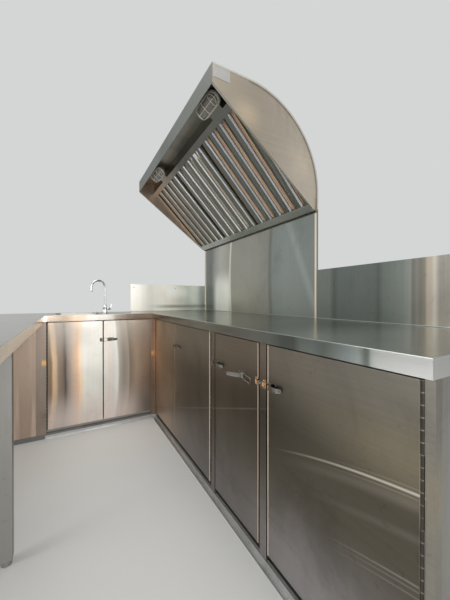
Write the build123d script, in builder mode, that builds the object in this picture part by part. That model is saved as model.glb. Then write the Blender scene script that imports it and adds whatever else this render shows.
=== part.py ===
from build123d import *
import math
import os

# Kitchen unit of a food trailer: a U of stainless worktops with cupboards, a sink and an extractor hood.
# Millimetres. X runs across the trailer, Y into it, Z up. Origin on the floor under the middle of the unit.

os.makedirs("parts", exist_ok=True)

# Overall sizes
WIDTH = 2095.0
LENGTH = 2555.0
TOP_Z = 885.0
ROOF_Z = 2168.0
DEPTH_RIGHT = 729.0
DEPTH_END = 479.0
DEPTH_LEFT = 600.0
SHEET = 2.0

# Worktop edge and cabinet front
FASCIA = 43.5
LIP = 12.0
BEND = 2.5
OVERHANG = 12.5

# Doors
DOOR_T = 20.0
DOOR_GAP = 6.0
DOOR_BOTTOM = 65.0
TOP_CLEAR = 6.0
BACK_LIP = 14.0
DOOR_FOLD = 2.0

# Plinth and floor angles
PLINTH_H = 38.0
KICK_IN = 9.0
ANGLE_W = 20.0
ANGLE_H = 24.0

# Pegs that seat the lift-out panel
PEG_R = 4.0
PEG_Z = DOOR_BOTTOM + 8.0

# Piano hinge
KNUCKLE_R = 3.5
PIN_R = 1.2
BORE_R = PIN_R + 0.05
LEAF_T = 1.5
LEAF_W = 18.0
LEAF_START = 4.2
KNUCKLES = 5
KNUCKLE_GAP = 0.5
HINGE_HALF = KNUCKLE_R + 1.0

# Splashbacks and tall panel
STAND_OFF = 12.0
SPLASH_RIGHT_H = 298.0
SPLASH_END_H = 266.0
SPLASH_END_LEN = 807.0
TRIM_W = 14.0

# Hood
HOOD_DEPTH = 733.0
HOOD_LEN = 1607.0
HOOD_H = 631.0
HOOD_FASCIA = 101.5
HOOD_ARC_R = 510.0
HOOD_LIP = 10.0
RIM_LIP_S = 3.0
SEAM_W = 11.0
SEAM_T = 1.0
RIM_LOW_IN = 50.0
RIM_STEP = 21.0
RAIL_S = 108.0
RAIL_W = 35.0
PLATE_W = 97.0
PLATE_H = 60.0
DUCT_R = 75.0
DUCT_COLLAR = 40.0
DUCT_IN = 502.5

# Filters
FILTERS = 3
BAFFLES = 5
BANK_DEEP = 106.0
BANK_MARGIN = 28.0
BANK_LEDGE = 6.0
BANK_PLAY = 4.0
DRIP_W = 25.5
DRIP_H = 22.0
DRIP_LAP = 8.0
FILTER_T = 42.0
BAFFLE_FACE = 0.43
BAFFLE_LEG = 12.0
BAFFLE_T = 1.5
FILTER_GAP = 1.0

# Bulkhead lamps
LAMP_NEAR = 229.5
LAMP_FAR = 357.5
LAMP_S = 39.0
LAMP_HALF_S = 43.0
LAMP_HALF_Y = 103.0
LAMP_BASE_H = 12.0
LAMP_TOP = 106.0
BRACKET_HALF = 60.0
CAGE_BAR = 3.6
CAGE_OUT = 6.5
CAGE_SET = 0.7
CAGE_R = 16.0
CAGE_RING = 18.0
HOOP_Y = 72.0
GLASS_H = 28.0
GLASS_IN = 10.0
GLASS_CHAMFER = 9.0

# Sink and tap
SINK_W = 320.0
SINK_D = 300.0
SINK_DEPTH = 160.0
SINK_R = 45.0
SINK_LEFT = 170.0
SINK_BACK = 249.5
TAP_SIDE = 216.0
TAP_BACK = 167.5
TAP_R = 19.0
TAP_FLANGE = 6.0
TAP_BODY_H = 61.0
SHANK = 52.0
SOCKET_D = 20.0
PEG_CLEAR = 0.05
HANDLE_R = 12.0
HANDLE_L = 26.0
HANDLE_Z = 36.0
LEVER_H = 40.0
COLLAR_H = 8.0
SPOUT_DROP = 19.0
NOZZLE_H = 18.0
SPOUT_R = 9.0
NECK_SIDES = 12
WELL_R = 40.0
SEAT_CLEAR = 0.3
CUP_H = 24.0
WASTE_R = 20.0
TRAP_R = 34.0
WASTE_DROP = 54.0
TRAP_H = 100.0
PIPE_R = 16.0
TAP_H = 280.0
TAP_REACH = 118.0
TAP_TURN = 200.0

# Latches
LATCH_Z = 688.0
LATCH_T = 1.5
LEVER_T = 1.8
WIRE_R = 1.3
LOOP_H = 11.0

# Fronts of the right run from its near end, hinge axis to post or post to meeting line
END_STILE = 24.0
DOOR4_W = 518.0
POST1_W = 40.0
PANEL_GAP = 10.0
DOOR3_W = 358.0
POST2_W = 39.0
DOOR2_W = 556.0
CORNER_STILE = 68.5

# Fronts of the end run from its left
LEFT_STILE = 11.5
INSET_W = 61.5
DOOR5_W = 372.0
SIDE_STILE = 26.0

# Legs of the left arm
TUBE = 40.0
LEG_IN = 60.0
LEG_MID = 1047.5
FOOT_H = 20.0
FOOT_R = 18.0

# Derived planes
XR = WIDTH / 2
XL = -WIDTH / 2
YE = LENGTH / 2
YN = -LENGTH / 2
EDGE_R = XR - DEPTH_RIGHT
EDGE_E = YE - DEPTH_END
EDGE_L = XL + DEPTH_LEFT
FACE_R = EDGE_R + OVERHANG
FACE_E = EDGE_E + OVERHANG
UNDER = TOP_Z - SHEET
FASCIA_Z = TOP_Z - FASCIA
DOOR_TOP = FASCIA_Z - TOP_CLEAR

# Right run, as Y of each edge
NEAR_AXIS = YN + END_STILE
POST1_Y = (NEAR_AXIS + DOOR4_W, NEAR_AXIS + DOOR4_W + POST1_W)
DOOR3_Y = (POST1_Y[1] + PANEL_GAP, POST1_Y[1] + PANEL_GAP + DOOR3_W)
POST2_Y = (DOOR3_Y[1] + DOOR_GAP, DOOR3_Y[1] + DOOR_GAP + POST2_W)
PEG_Y = (DOOR3_Y[0] + 40, DOOR3_Y[1] - 40)
MEET_Y = POST2_Y[1] + DOOR2_W
FAR_AXIS = FACE_E - CORNER_STILE

# End run, as X of each edge
LEFT_AXIS = EDGE_L + LEFT_STILE
MEET_X = LEFT_AXIS + DOOR5_W
PANEL_B_END = FACE_R - SIDE_STILE
INSET_X = (LEFT_AXIS - HINGE_HALF - INSET_W, LEFT_AXIS - HINGE_HALF)
SINK_X = MEET_X - SINK_LEFT
SINK_Y = YE - SINK_BACK
TAP_X = SINK_X + TAP_SIDE
TAP_Y = YE - TAP_BACK

# Hood
HOOD_X = XR - HOOD_DEPTH
HOOD_NEAR = YE - HOOD_LEN
HOOD_BACK_Z = ROOF_Z - HOOD_H
RIM_HIGH_Z = ROOF_Z - HOOD_FASCIA
RIM_LOW_X = XR - RIM_LOW_IN
RIM_LOW_Z = HOOD_BACK_Z + RIM_STEP
SLOPE_LEN = math.hypot(RIM_LOW_X - HOOD_X, RIM_LOW_Z - RIM_HIGH_Z)
FILTER_END = SLOPE_LEN - DRIP_W
DUCT_X = XR - DUCT_IN
DUCT_Y = (HOOD_NEAR + YE) / 2
LAMP_Y = (HOOD_NEAR + LAMP_NEAR, YE - LAMP_FAR)


def slab(x0, x1, y0, y1, z0, z1, mode=Mode.ADD):
    """Box between two corners."""
    with Locations(((x0 + x1) / 2, (y0 + y1) / 2, (z0 + z1) / 2)):
        Box(x1 - x0, y1 - y0, z1 - z0, mode=mode)


def front_slab(run, a0, a1, b0, b1, z0, z1, mode=Mode.ADD):
    """Box given along a cabinet front (a) and behind its face plane (b)."""
    a0, a1 = min(a0, a1), max(a0, a1)
    if run == "right":
        slab(FACE_R + b0, FACE_R + b1, a0, a1, z0, z1, mode)
    else:
        slab(a0, a1, FACE_E + b0, FACE_E + b1, z0, z1, mode)


def front_point(run, a, b, z):
    return (FACE_R + b, a, z) if run == "right" else (a, FACE_E + b, z)


def knuckle_spans(moving):
    pitch = (DOOR_TOP - DOOR_BOTTOM) / KNUCKLES
    for i in range(1 if moving else 0, KNUCKLES, 2):
        z0 = DOOR_BOTTOM + i * pitch
        yield z0 + KNUCKLE_GAP / 2, z0 + pitch - KNUCKLE_GAP / 2


def hinge_leaf(run, axis, side, moving):
    """Leaf, tabs and barrels on one side of a piano hinge; side is where this leaf lies from the axis."""
    near, far = axis + side * (HINGE_HALF - LEAF_T), axis + side * HINGE_HALF
    front_slab(run, near, far, LEAF_START, LEAF_W, DOOR_BOTTOM + 1, DOOR_TOP - 1)
    for z0, z1 in knuckle_spans(moving):
        front_slab(run, near, far, 0, LEAF_START, z0, z1)
        with Locations(front_point(run, axis, 0, (z0 + z1) / 2)):
            Cylinder(KNUCKLE_R, z1 - z0)
    mid = front_point(run, axis, 0, (DOOR_TOP + DOOR_BOTTOM) / 2)
    height = DOOR_TOP - DOOR_BOTTOM - 2
    if moving:
        with Locations(mid):
            Cylinder(BORE_R, height + 4, mode=Mode.SUBTRACT)
    else:
        with Locations(mid):
            Cylinder(PIN_R, height)


def door_pan(door, run, a0, a1):
    """Folded door: face sheet with rounded folds, four returns and back lips."""
    front_slab(run, a0, a1, 0, DOOR_T, DOOR_BOTTOM, DOOR_TOP)
    face = door.faces().sort_by(Axis.X if run == "right" else Axis.Y)[0]
    fillet(face.edges(), DOOR_FOLD)
    front_slab(run, a0 + SHEET, a1 - SHEET, SHEET, DOOR_T - SHEET,
               DOOR_BOTTOM + SHEET, DOOR_TOP - SHEET, Mode.SUBTRACT)
    front_slab(run, a0 + BACK_LIP, a1 - BACK_LIP, DOOR_T - SHEET - 1, DOOR_T + 1,
               DOOR_BOTTOM + BACK_LIP, DOOR_TOP - BACK_LIP, Mode.SUBTRACT)


def front_sketch(run, pts, z0, z1, mode=Mode.ADD):
    """Outline in (along, behind) of a cabinet front, extruded in height."""
    flat = [front_point(run, a, b, 0)[:2] for a, b in pts]
    with BuildSketch(Plane.XY.offset(z0)) as outline:
        with BuildLine():
            Polyline(*flat, close=True)
        make_face()
    extrude(outline.sketch, amount=z1 - z0, mode=mode)


def bent_strip(run, pts, t, z0, z1):
    """Strip of thickness t folded along the points of its centreline."""
    one, two = [], []
    for i, (a, b) in enumerate(pts):
        a0, b0 = pts[max(i - 1, 0)]
        a1, b1 = pts[min(i + 1, len(pts) - 1)]
        length = math.hypot(a1 - a0, b1 - b0)
        na, nb = -(b1 - b0) / length * t / 2, (a1 - a0) / length * t / 2
        one.append((a + na, b + nb))
        two.append((a - na, b - nb))
    front_sketch(run, one + two[::-1], z0, z1)


def rod(p, q, r):
    """Thin bar between two points, round wire drawn as a hexagon."""
    axis = Vector(*q) - Vector(*p)
    with BuildSketch(Plane(origin=p, z_dir=axis)) as section:
        RegularPolygon(r, 6)
    extrude(section.sketch, amount=axis.length)


def latch_loop(run, root, tip, b0, b1):
    """Wire loop from its pivot to its closed end."""
    for dz in (-LOOP_H, LOOP_H):
        rod(front_point(run, root, b0, LATCH_Z + dz), front_point(run, tip, b1, LATCH_Z + dz), WIRE_R)
    reach = LOOP_H + WIRE_R / 2
    rod(front_point(run, tip, b1, LATCH_Z - reach), front_point(run, tip, b1, LATCH_Z + reach), WIRE_R + 0.15)


def latch_frame(run, root, way):
    """Base plate, two cheeks and pivot pin; root is the pivot and way points to the catch."""
    z = LATCH_Z
    front_slab(run, root - way * 30, root + way * 18, -LATCH_T, 0, z - 14, z + 14)
    for dz in (-LOOP_H - 0.9, LOOP_H - 0.9):
        front_sketch(run, [(root - way * 16, 0), (root + way * 12, 0), (root + way * 7, -13), (root - way * 7, -14)],
                     z + dz, z + dz + 1.8)
    rod(front_point(run, root, -9.5, z - LOOP_H - 2), front_point(run, root, -9.5, z + LOOP_H + 2), 2.0)


def latch_body(run, tip, way, lift):
    """Closed draw latch: frame, curved lever lying back, wire loop reaching to tip; lift is the loop's stand-off."""
    root = tip - way * 44
    z = LATCH_Z
    latch_frame(run, root, way)
    lever = ((7, -7), (0, -10.5), (-8, -15), (-20, -17.5), (-32, -17), (-44, -13.5), (-52, -9), (-56, -5))
    bent_strip(run, [(root + way * a, b) for a, b in lever], LEVER_T, z - 9.5, z + 9.5)
    latch_loop(run, root, tip, -9.5, -lift)


def latch_catch(run, a, way):
    """Hooked catch plate; way points from the catch to the latch body."""
    z = LATCH_Z
    front_slab(run, a - 9, a + 9, -LATCH_T, 0, z - 15, z + 15)
    bent_strip(run, [(a, -0.5), (a, -5.5), (a - way * 1.5, -7.5), (a - way * 5, -7.5), (a - way * 6.5, -5.5)],
               LATCH_T, z - 8, z + 8)


# Worktop: one folded U with turned-down front edge and return lips
with BuildPart() as worktop:
    with BuildSketch(Plane.XY.offset(FASCIA_Z)):
        with BuildLine():
            Polyline((XL, YN), (EDGE_L, YN), (EDGE_L, EDGE_E), (EDGE_R, EDGE_E), (EDGE_R, YN),
                     (XR, YN), (XR, YE), (XL, YE), close=True)
        make_face()
    extrude(amount=FASCIA)
    with BuildSketch(Plane.XY.offset(FASCIA_Z + SHEET)):
        with BuildLine():
            Polyline((XL - 5, YN + SHEET), (EDGE_L - SHEET, YN + SHEET), (EDGE_L - SHEET, EDGE_E + SHEET),
                     (EDGE_R + SHEET, EDGE_E + SHEET), (EDGE_R + SHEET, YN + SHEET), (XR + 5, YN + SHEET),
                     (XR + 5, YE + 5), (XL - 5, YE + 5), close=True)
        make_face()
    extrude(amount=FASCIA - 2 * SHEET, mode=Mode.SUBTRACT)
    with BuildSketch(Plane.XY.offset(FASCIA_Z - 1)):
        with BuildLine():
            Polyline((XL - 5, YN + LIP), (EDGE_L - LIP, YN + LIP), (EDGE_L - LIP, EDGE_E + LIP),
                     (EDGE_R + LIP, EDGE_E + LIP), (EDGE_R + LIP, YN + LIP), (XR + 5, YN + LIP),
                     (XR + 5, YE + 5), (XL - 5, YE + 5), close=True)
        make_face()
    extrude(amount=SHEET + 2, mode=Mode.SUBTRACT)
    with BuildSketch(Plane.XY.offset(UNDER - 1)):
        with Locations((SINK_X, SINK_Y)):
            RectangleRounded(SINK_W, SINK_D, SINK_R)
        with Locations((TAP_X, TAP_Y)):
            Circle(17.5)
    extrude(amount=SHEET + 2, mode=Mode.SUBTRACT)
    folds = worktop.edges().filter_by(GeomType.LINE).filter_by(
        lambda e: abs(e.center().Z - TOP_Z) < 0.01 and XL + 1 < e.center().X < XR - 1
        and e.center().Y < EDGE_E + 1)
    fillet(folds, BEND)
worktop.part.label = "worktop"
export_step(worktop.part, "parts/worktop.step")

# Sink bowl hung in the cut-out, with a drain well
with BuildPart() as sink_bowl:
    with BuildSketch(Plane.XY.offset(TOP_Z)):
        with Locations((SINK_X, SINK_Y)):
            RectangleRounded(SINK_W + 24, SINK_D + 24, SINK_R + 12)
    extrude(amount=1.5)
    with BuildSketch(Plane.XY.offset(TOP_Z - SINK_DEPTH)):
        with Locations((SINK_X, SINK_Y)):
            RectangleRounded(SINK_W - 1, SINK_D - 1, SINK_R)
    extrude(amount=SINK_DEPTH)
    with BuildSketch(Plane.XY.offset(TOP_Z - SINK_DEPTH + SHEET)):
        with Locations((SINK_X, SINK_Y)):
            RectangleRounded(SINK_W - 1 - 2 * SHEET, SINK_D - 1 - 2 * SHEET, SINK_R - SHEET)
    extrude(amount=SINK_DEPTH + 5, mode=Mode.SUBTRACT)
    with BuildSketch(Plane.XY.offset(TOP_Z - SINK_DEPTH - 1)):
        with Locations((SINK_X, SINK_Y)):
            Circle(WELL_R)
    extrude(amount=SHEET + 2, mode=Mode.SUBTRACT)
sink_bowl.part.label = "sink_bowl"
export_step(sink_bowl.part, "parts/sink_bowl.step")

# Waste: strainer cup in the drain well and a bottle trap under it
BASE = (Align.CENTER, Align.CENTER, Align.MIN)
WELL_Z = TOP_Z - SINK_DEPTH + SHEET
with BuildPart() as sink_waste:
    with Locations((SINK_X, SINK_Y, WELL_Z - CUP_H)):
        Cylinder(WELL_R - SEAT_CLEAR, CUP_H, align=BASE)
    with Locations((SINK_X, SINK_Y, WELL_Z - CUP_H + SHEET)):
        Cylinder(WELL_R - 2 * SHEET, CUP_H, align=BASE, mode=Mode.SUBTRACT)
    with Locations((SINK_X, SINK_Y, WELL_Z - CUP_H - WASTE_DROP)):
        Cylinder(WASTE_R, WASTE_DROP, align=BASE)
    with Locations((SINK_X, SINK_Y, WELL_Z - CUP_H - WASTE_DROP - TRAP_H)):
        Cylinder(TRAP_R, TRAP_H, align=BASE)
    with Locations((SINK_X, YE - SHEET - CUP_H, WELL_Z - CUP_H - WASTE_DROP - TRAP_H / 2)):
        Cylinder(PIPE_R, YE - SHEET - CUP_H - SINK_Y, rotation=(90, 0, 0), align=BASE)
sink_waste.part.label = "sink_waste"
export_step(sink_waste.part, "parts/sink_waste.step")

# Tap body: base flange and column with the socket for the spout
SOCKET_Z = TOP_Z + TAP_BODY_H - SOCKET_D
SOCKET_R = SPOUT_R + 1.0
with BuildPart() as tap_body:
    with Locations((TAP_X, TAP_Y, TOP_Z)):
        Cylinder(TAP_R + TAP_FLANGE, TAP_FLANGE, align=BASE)
        Cylinder(TAP_R, TAP_BODY_H, align=BASE)
    with Locations((TAP_X, TAP_Y, TOP_Z - SHANK)):
        Cylinder(TAP_R - 3, SHANK, align=BASE)
    with Locations((TAP_X, TAP_Y, SOCKET_Z)):
        Cylinder(SOCKET_R + PEG_CLEAR, TAP_BODY_H, align=BASE, mode=Mode.SUBTRACT)
tap_body.part.label = "tap_body"
export_step(tap_body.part, "parts/tap_body.step")

# Tap lever: spindle housing on the right of the column, and the blade that stands up from it
HANDLE_END = TAP_X + TAP_R + HANDLE_L
with BuildPart() as tap_lever:
    with Locations((TAP_X + TAP_R, TAP_Y, TOP_Z + HANDLE_Z)):
        Cylinder(HANDLE_R, HANDLE_L, rotation=(0, 90, 0), align=BASE)
    with BuildSketch(Plane.XZ.offset(-TAP_Y - HANDLE_R / 2)):
        with BuildLine():
            Polyline((HANDLE_END - 9, TOP_Z + HANDLE_Z), (HANDLE_END, TOP_Z + HANDLE_Z),
                     (HANDLE_END + 6, TOP_Z + HANDLE_Z + LEVER_H), (HANDLE_END, TOP_Z + HANDLE_Z + LEVER_H + 2),
                     close=True)
        make_face()
    extrude(amount=HANDLE_R)
    with Locations((TAP_X, TAP_Y, TOP_Z)):
        Cylinder(TAP_R, TAP_BODY_H, align=BASE, mode=Mode.SUBTRACT)
tap_lever.part.label = "tap_lever"
export_step(tap_lever.part, "parts/tap_lever.step")

# Swivel collar turning in the tap body
COLLAR_Z = TOP_Z + TAP_BODY_H + 1
with BuildPart() as spout_collar:
    with Locations((TAP_X, TAP_Y, SOCKET_Z + PEG_CLEAR)):
        Cylinder(SOCKET_R, COLLAR_Z - SOCKET_Z - PEG_CLEAR, align=BASE)
    with Locations((TAP_X, TAP_Y, COLLAR_Z)):
        Cylinder(SOCKET_R + 4, COLLAR_H, align=BASE)
spout_collar.part.label = "spout_collar"
export_step(spout_collar.part, "parts/spout_collar.step")

# Swan-neck spout standing on the collar
neck_top = TOP_Z + TAP_H - TAP_REACH / 2
turn = math.radians(TAP_TURN)
out_x, out_y = math.cos(turn), math.sin(turn)
tip_x, tip_y = TAP_X + out_x * TAP_REACH, TAP_Y + out_y * TAP_REACH
with BuildPart() as tap_spout:
    with BuildLine():
        Line((TAP_X, TAP_Y, COLLAR_Z + COLLAR_H), (TAP_X, TAP_Y, neck_top))
        ThreePointArc((TAP_X, TAP_Y, neck_top),
                      ((TAP_X + tip_x) / 2, (TAP_Y + tip_y) / 2, neck_top + TAP_REACH / 2),
                      (tip_x, tip_y, neck_top))
        Line((tip_x, tip_y, neck_top), (tip_x, tip_y, neck_top - SPOUT_DROP))
    with BuildSketch(Plane.XY.offset(COLLAR_Z + COLLAR_H)):
        with Locations((TAP_X, TAP_Y)):
            RegularPolygon(SPOUT_R, NECK_SIDES)
    sweep()
    with Locations((tip_x, tip_y, neck_top - SPOUT_DROP - NOZZLE_H)):
        Cylinder(SPOUT_R + 2, NOZZLE_H, align=BASE)
tap_spout.part.label = "tap_spout"
export_step(tap_spout.part, "parts/tap_spout.step")

# Right cabinet: bottom pan, back, end and partition panels
SHELF_Z = DOOR_BOTTOM + 3
BACK_R = XR - SHEET
INNER_R = FACE_R + DOOR_T + 6
with BuildPart() as right_cabinet:
    slab(INNER_R, XR, YN, YE, SHELF_Z, SHELF_Z + SHEET)
    slab(INNER_R, INNER_R + SHEET, YN, YE, PLINTH_H, SHELF_Z + SHEET)
    slab(BACK_R, XR, YN, YE, SHELF_Z, FASCIA_Z)
    slab(BACK_R, XR, YN + LIP, YE, SHELF_Z, UNDER)
    slab(INNER_R, XR, YE - SHEET, YE, SHELF_Z, UNDER)
    slab(INNER_R, XR, YN, YN + SHEET, PLINTH_H, FASCIA_Z)
    for y in PEG_Y:
        slab(INNER_R, INNER_R + SHEET, y - 12, y + 12, SHELF_Z, PEG_Z + 12)
        with Locations((INNER_R, y, PEG_Z)):
            Cylinder(PEG_R + 0.05, 30, rotation=(0, 90, 0), mode=Mode.SUBTRACT)
    slab(INNER_R, XR, POST2_Y[0] + 20, POST2_Y[0] + 20 + SHEET, SHELF_Z + SHEET, UNDER)
    slab(INNER_R, XR, POST1_Y[0] + 20, POST1_Y[0] + 20 + SHEET, SHELF_Z + SHEET, UNDER)
    slab(INNER_R, XR, FAR_AXIS + 30, FAR_AXIS + 30 + SHEET, SHELF_Z + SHEET, UNDER)
right_cabinet.part.label = "right_cabinet"
export_step(right_cabinet.part, "parts/right_cabinet.step")

# Front posts of the right run: C-channels with their web flush with the doors
with BuildPart() as right_posts:
    for a0, a1 in ((YN, NEAR_AXIS - HINGE_HALF), POST1_Y, POST2_Y, (FAR_AXIS + HINGE_HALF, FACE_E)):
        front_slab("right", a0, a1, 0, SHEET, PLINTH_H, FASCIA_Z)
        front_slab("right", a0, a0 + SHEET, 0, DOOR_T + 6, PLINTH_H, FASCIA_Z)
        front_slab("right", a1 - SHEET, a1, 0, DOOR_T + 6, PLINTH_H, FASCIA_Z)
right_posts.part.label = "right_posts"
export_step(right_posts.part, "parts/right_posts.step")

# End cabinet: bottom pan, back, side and the fixed front panel beside the corner
INNER_E = FACE_E + DOOR_T + 6
with BuildPart() as end_cabinet:
    slab(XL, INNER_R, INNER_E, YE, SHELF_Z, SHELF_Z + SHEET)
    slab(XL, INNER_R, INNER_E, INNER_E + SHEET, PLINTH_H, SHELF_Z + SHEET)
    slab(XL, INNER_R, YE - SHEET, YE, SHELF_Z + SHEET, UNDER)
    slab(XL, XL + SHEET, INNER_E, YE, SHELF_Z + SHEET, UNDER)
    slab(INSET_X[0] + 20, INSET_X[0] + 20 + SHEET, INNER_E, YE, SHELF_Z + SHEET, UNDER)
end_cabinet.part.label = "end_cabinet"
export_step(end_cabinet.part, "parts/end_cabinet.step")

with BuildPart() as end_posts:
    for a0, a1 in (INSET_X, (PANEL_B_END + DOOR_GAP, FACE_R)):
        front_slab("end", a0, a1, 0, SHEET, PLINTH_H, FASCIA_Z)
        front_slab("end", a0, a0 + SHEET, 0, DOOR_T + 6, PLINTH_H, FASCIA_Z)
        front_slab("end", a1 - SHEET, a1, 0, DOOR_T + 6, PLINTH_H, FASCIA_Z)
end_posts.part.label = "end_posts"
export_step(end_posts.part, "parts/end_posts.step")

with BuildPart() as blind_panel:
    front_slab("end", XL, INSET_X[0], 0, SHEET, PLINTH_H, FASCIA_Z)
    front_slab("end", INSET_X[0] - SHEET, INSET_X[0], 0, DOOR_T, PLINTH_H, FASCIA_Z)
blind_panel.part.label = "blind_panel"
export_step(blind_panel.part, "parts/blind_panel.step")

with BuildPart() as fixed_front:
    door_pan(fixed_front, "end", MEET_X + DOOR_GAP / 2, PANEL_B_END + DOOR_GAP)
fixed_front.part.label = "fixed_front"
export_step(fixed_front.part, "parts/fixed_front.step")

# Plinths and floor angles
KICK_R = FACE_R + KICK_IN
KICK_E = FACE_E + KICK_IN
with BuildPart() as plinth:
    slab(KICK_R, KICK_R + SHEET, YN, KICK_E, 0, PLINTH_H)
    slab(XL, KICK_R, KICK_E, KICK_E + SHEET, 0, PLINTH_H)
    slab(KICK_R, INNER_R, YN, KICK_E, PLINTH_H - SHEET, PLINTH_H)
    slab(XL, KICK_R, KICK_E + SHEET, INNER_E, PLINTH_H - SHEET, PLINTH_H)
plinth.part.label = "plinth"
export_step(plinth.part, "parts/plinth.step")

with BuildPart() as floor_angle:
    slab(KICK_R - ANGLE_W, KICK_R, YN, KICK_E, 0, SHEET)
    slab(KICK_R - SHEET, KICK_R, YN, KICK_E, 0, ANGLE_H)
    slab(EDGE_L, KICK_R, KICK_E - ANGLE_W, KICK_E, 0, SHEET)
    slab(EDGE_L, KICK_R, KICK_E - SHEET, KICK_E, 0, ANGLE_H)
floor_angle.part.label = "floor_angle"
export_step(floor_angle.part, "parts/floor_angle.step")

# Open frame of the left arm: square tube legs on round feet, and rails under the top
LEG_X = (EDGE_L - LEG_IN, XL + TUBE / 2)
with BuildPart() as left_frame:
    for y in (YN + LEG_IN, YN + LEG_MID):
        for x in LEG_X:
            slab(x - TUBE / 2, x + TUBE / 2, y - TUBE / 2, y + TUBE / 2, FOOT_H, UNDER)
            with Locations((x, y, 0)):
                Cylinder(FOOT_R, FOOT_H, align=BASE)
        slab(XL + TUBE, LEG_X[0] - TUBE / 2, y - TUBE / 2, y + TUBE / 2, UNDER - TUBE, UNDER)
    for x in LEG_X:
        slab(x - TUBE / 2, x + TUBE / 2, YN + LEG_IN, FACE_E, UNDER - TUBE, UNDER)
left_frame.part.label = "left_frame"
export_step(left_frame.part, "parts/left_frame.step")

# Doors of the right run
with BuildPart() as door_1:
    door_pan(door_1, "right", MEET_Y + DOOR_GAP / 2, FAR_AXIS - HINGE_HALF)
    hinge_leaf("right", FAR_AXIS, -1, True)
door_1.part.label = "door_1"
export_step(door_1.part, "parts/door_1.step")

with BuildPart() as door_2:
    door_pan(door_2, "right", POST2_Y[1] + 2 * HINGE_HALF, MEET_Y - DOOR_GAP / 2)
    hinge_leaf("right", POST2_Y[1] + HINGE_HALF, 1, True)
door_2.part.label = "door_2"
export_step(door_2.part, "parts/door_2.step")

with BuildPart() as door_3:
    door_pan(door_3, "right", DOOR3_Y[0], DOOR3_Y[1])
    for y in PEG_Y:
        with Locations((FACE_R + DOOR_T + 5, y, PEG_Z)):
            Cylinder(PEG_R, 14, rotation=(0, 90, 0))
door_3.part.label = "door_3"
export_step(door_3.part, "parts/door_3.step")

with BuildPart() as door_4:
    door_pan(door_4, "right", NEAR_AXIS + HINGE_HALF, POST1_Y[0] - DOOR_GAP)
    hinge_leaf("right", NEAR_AXIS, 1, True)
door_4.part.label = "door_4"
export_step(door_4.part, "parts/door_4.step")

with BuildPart() as door_5:
    door_pan(door_5, "end", LEFT_AXIS + HINGE_HALF, MEET_X - DOOR_GAP / 2)
    hinge_leaf("end", LEFT_AXIS, 1, True)
door_5.part.label = "door_5"
export_step(door_5.part, "parts/door_5.step")

# Fixed hinge leaves with their pins
with BuildPart() as hinges:
    hinge_leaf("right", FAR_AXIS, 1, False)
    hinge_leaf("right", POST2_Y[1] + HINGE_HALF, -1, False)
    hinge_leaf("right", NEAR_AXIS, -1, False)
    hinge_leaf("end", LEFT_AXIS, -1, False)
hinges.part.label = "hinges"
export_step(hinges.part, "parts/hinges.step")

# Latches: what rides on each door, then the catches and the latch that stay on the frame
with BuildPart() as latch_2:
    latch_body("right", MEET_Y - DOOR_GAP / 2, 1, 9.5)
latch_2.part.label = "latch_2"
export_step(latch_2.part, "parts/latch_2.step")

with BuildPart() as latch_1_catch:
    latch_catch("right", MEET_Y + 15, -1)
latch_1_catch.part.label = "latch_1_catch"
export_step(latch_1_catch.part, "parts/latch_1_catch.step")

# Narrow panel: far latch over its catch; near latch with its lever thrown open, its loop on the door and a clip
OPEN_Y = -582.0
OPEN_LEVER = ((-8, -6), (0, -10), (4, -14), (14, -21), (26, -28), (38, -35), (49, -42), (57, -49))
with BuildPart() as latch_3:
    latch_body("right", POST2_Y[0] + 8, 1, 14.5)
    latch_frame("right", OPEN_Y, -1)
    bent_strip("right", [(OPEN_Y + a, b) for a, b in OPEN_LEVER], LEVER_T, LATCH_Z - 10, LATCH_Z + 10)
    latch_loop("right", OPEN_Y, OPEN_Y - 54, -9.5, -WIRE_R - 0.2)
    latch_catch("right", DOOR3_Y[0] + 9, 1)
latch_3.part.label = "latch_3"
export_step(latch_3.part, "parts/latch_3.step")

with BuildPart() as latch_4:
    latch_body("right", POST1_Y[0] + 14, 1, 14.5)
latch_4.part.label = "latch_4"
export_step(latch_4.part, "parts/latch_4.step")

with BuildPart() as catches:
    latch_catch("right", POST2_Y[0] + 14, -1)
    latch_catch("right", POST1_Y[0] + 11, -1)
    front_slab("right", POST1_Y[1] - 14, POST1_Y[1], -LATCH_T, 0, LATCH_Z - 12, LATCH_Z + 12)
    bent_strip("right", [(POST1_Y[1] - 5, -0.5), (POST1_Y[1] - 3, -6), (POST1_Y[1] + 1, -10), (POST1_Y[1] + 4.5, -10)],
               LATCH_T, LATCH_Z - 9, LATCH_Z + 9)
catches.part.label = "catches"
export_step(catches.part, "parts/catches.step")

with BuildPart() as latch_5:
    latch_body("end", MEET_X + DOOR_GAP / 2, -1, 9.5)
latch_5.part.label = "latch_5"
export_step(latch_5.part, "parts/latch_5.step")

with BuildPart() as latch_5_catch:
    latch_catch("end", MEET_X - 15, 1)
latch_5_catch.part.label = "latch_5_catch"
export_step(latch_5_catch.part, "parts/latch_5_catch.step")

# Low splashbacks and the tall panel, each a sheet with returns to the wall
with BuildPart() as splash_right:
    slab(XR - STAND_OFF - SHEET, XR - STAND_OFF, YN, HOOD_NEAR, TOP_Z, TOP_Z + SPLASH_RIGHT_H)
    slab(XR - STAND_OFF, XR, YN, HOOD_NEAR, TOP_Z + SPLASH_RIGHT_H - SHEET, TOP_Z + SPLASH_RIGHT_H)
    slab(XR - STAND_OFF, XR, YN, YN + SHEET, TOP_Z, TOP_Z + SPLASH_RIGHT_H)
splash_right.part.label = "splash_right"
export_step(splash_right.part, "parts/splash_right.step")

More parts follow.
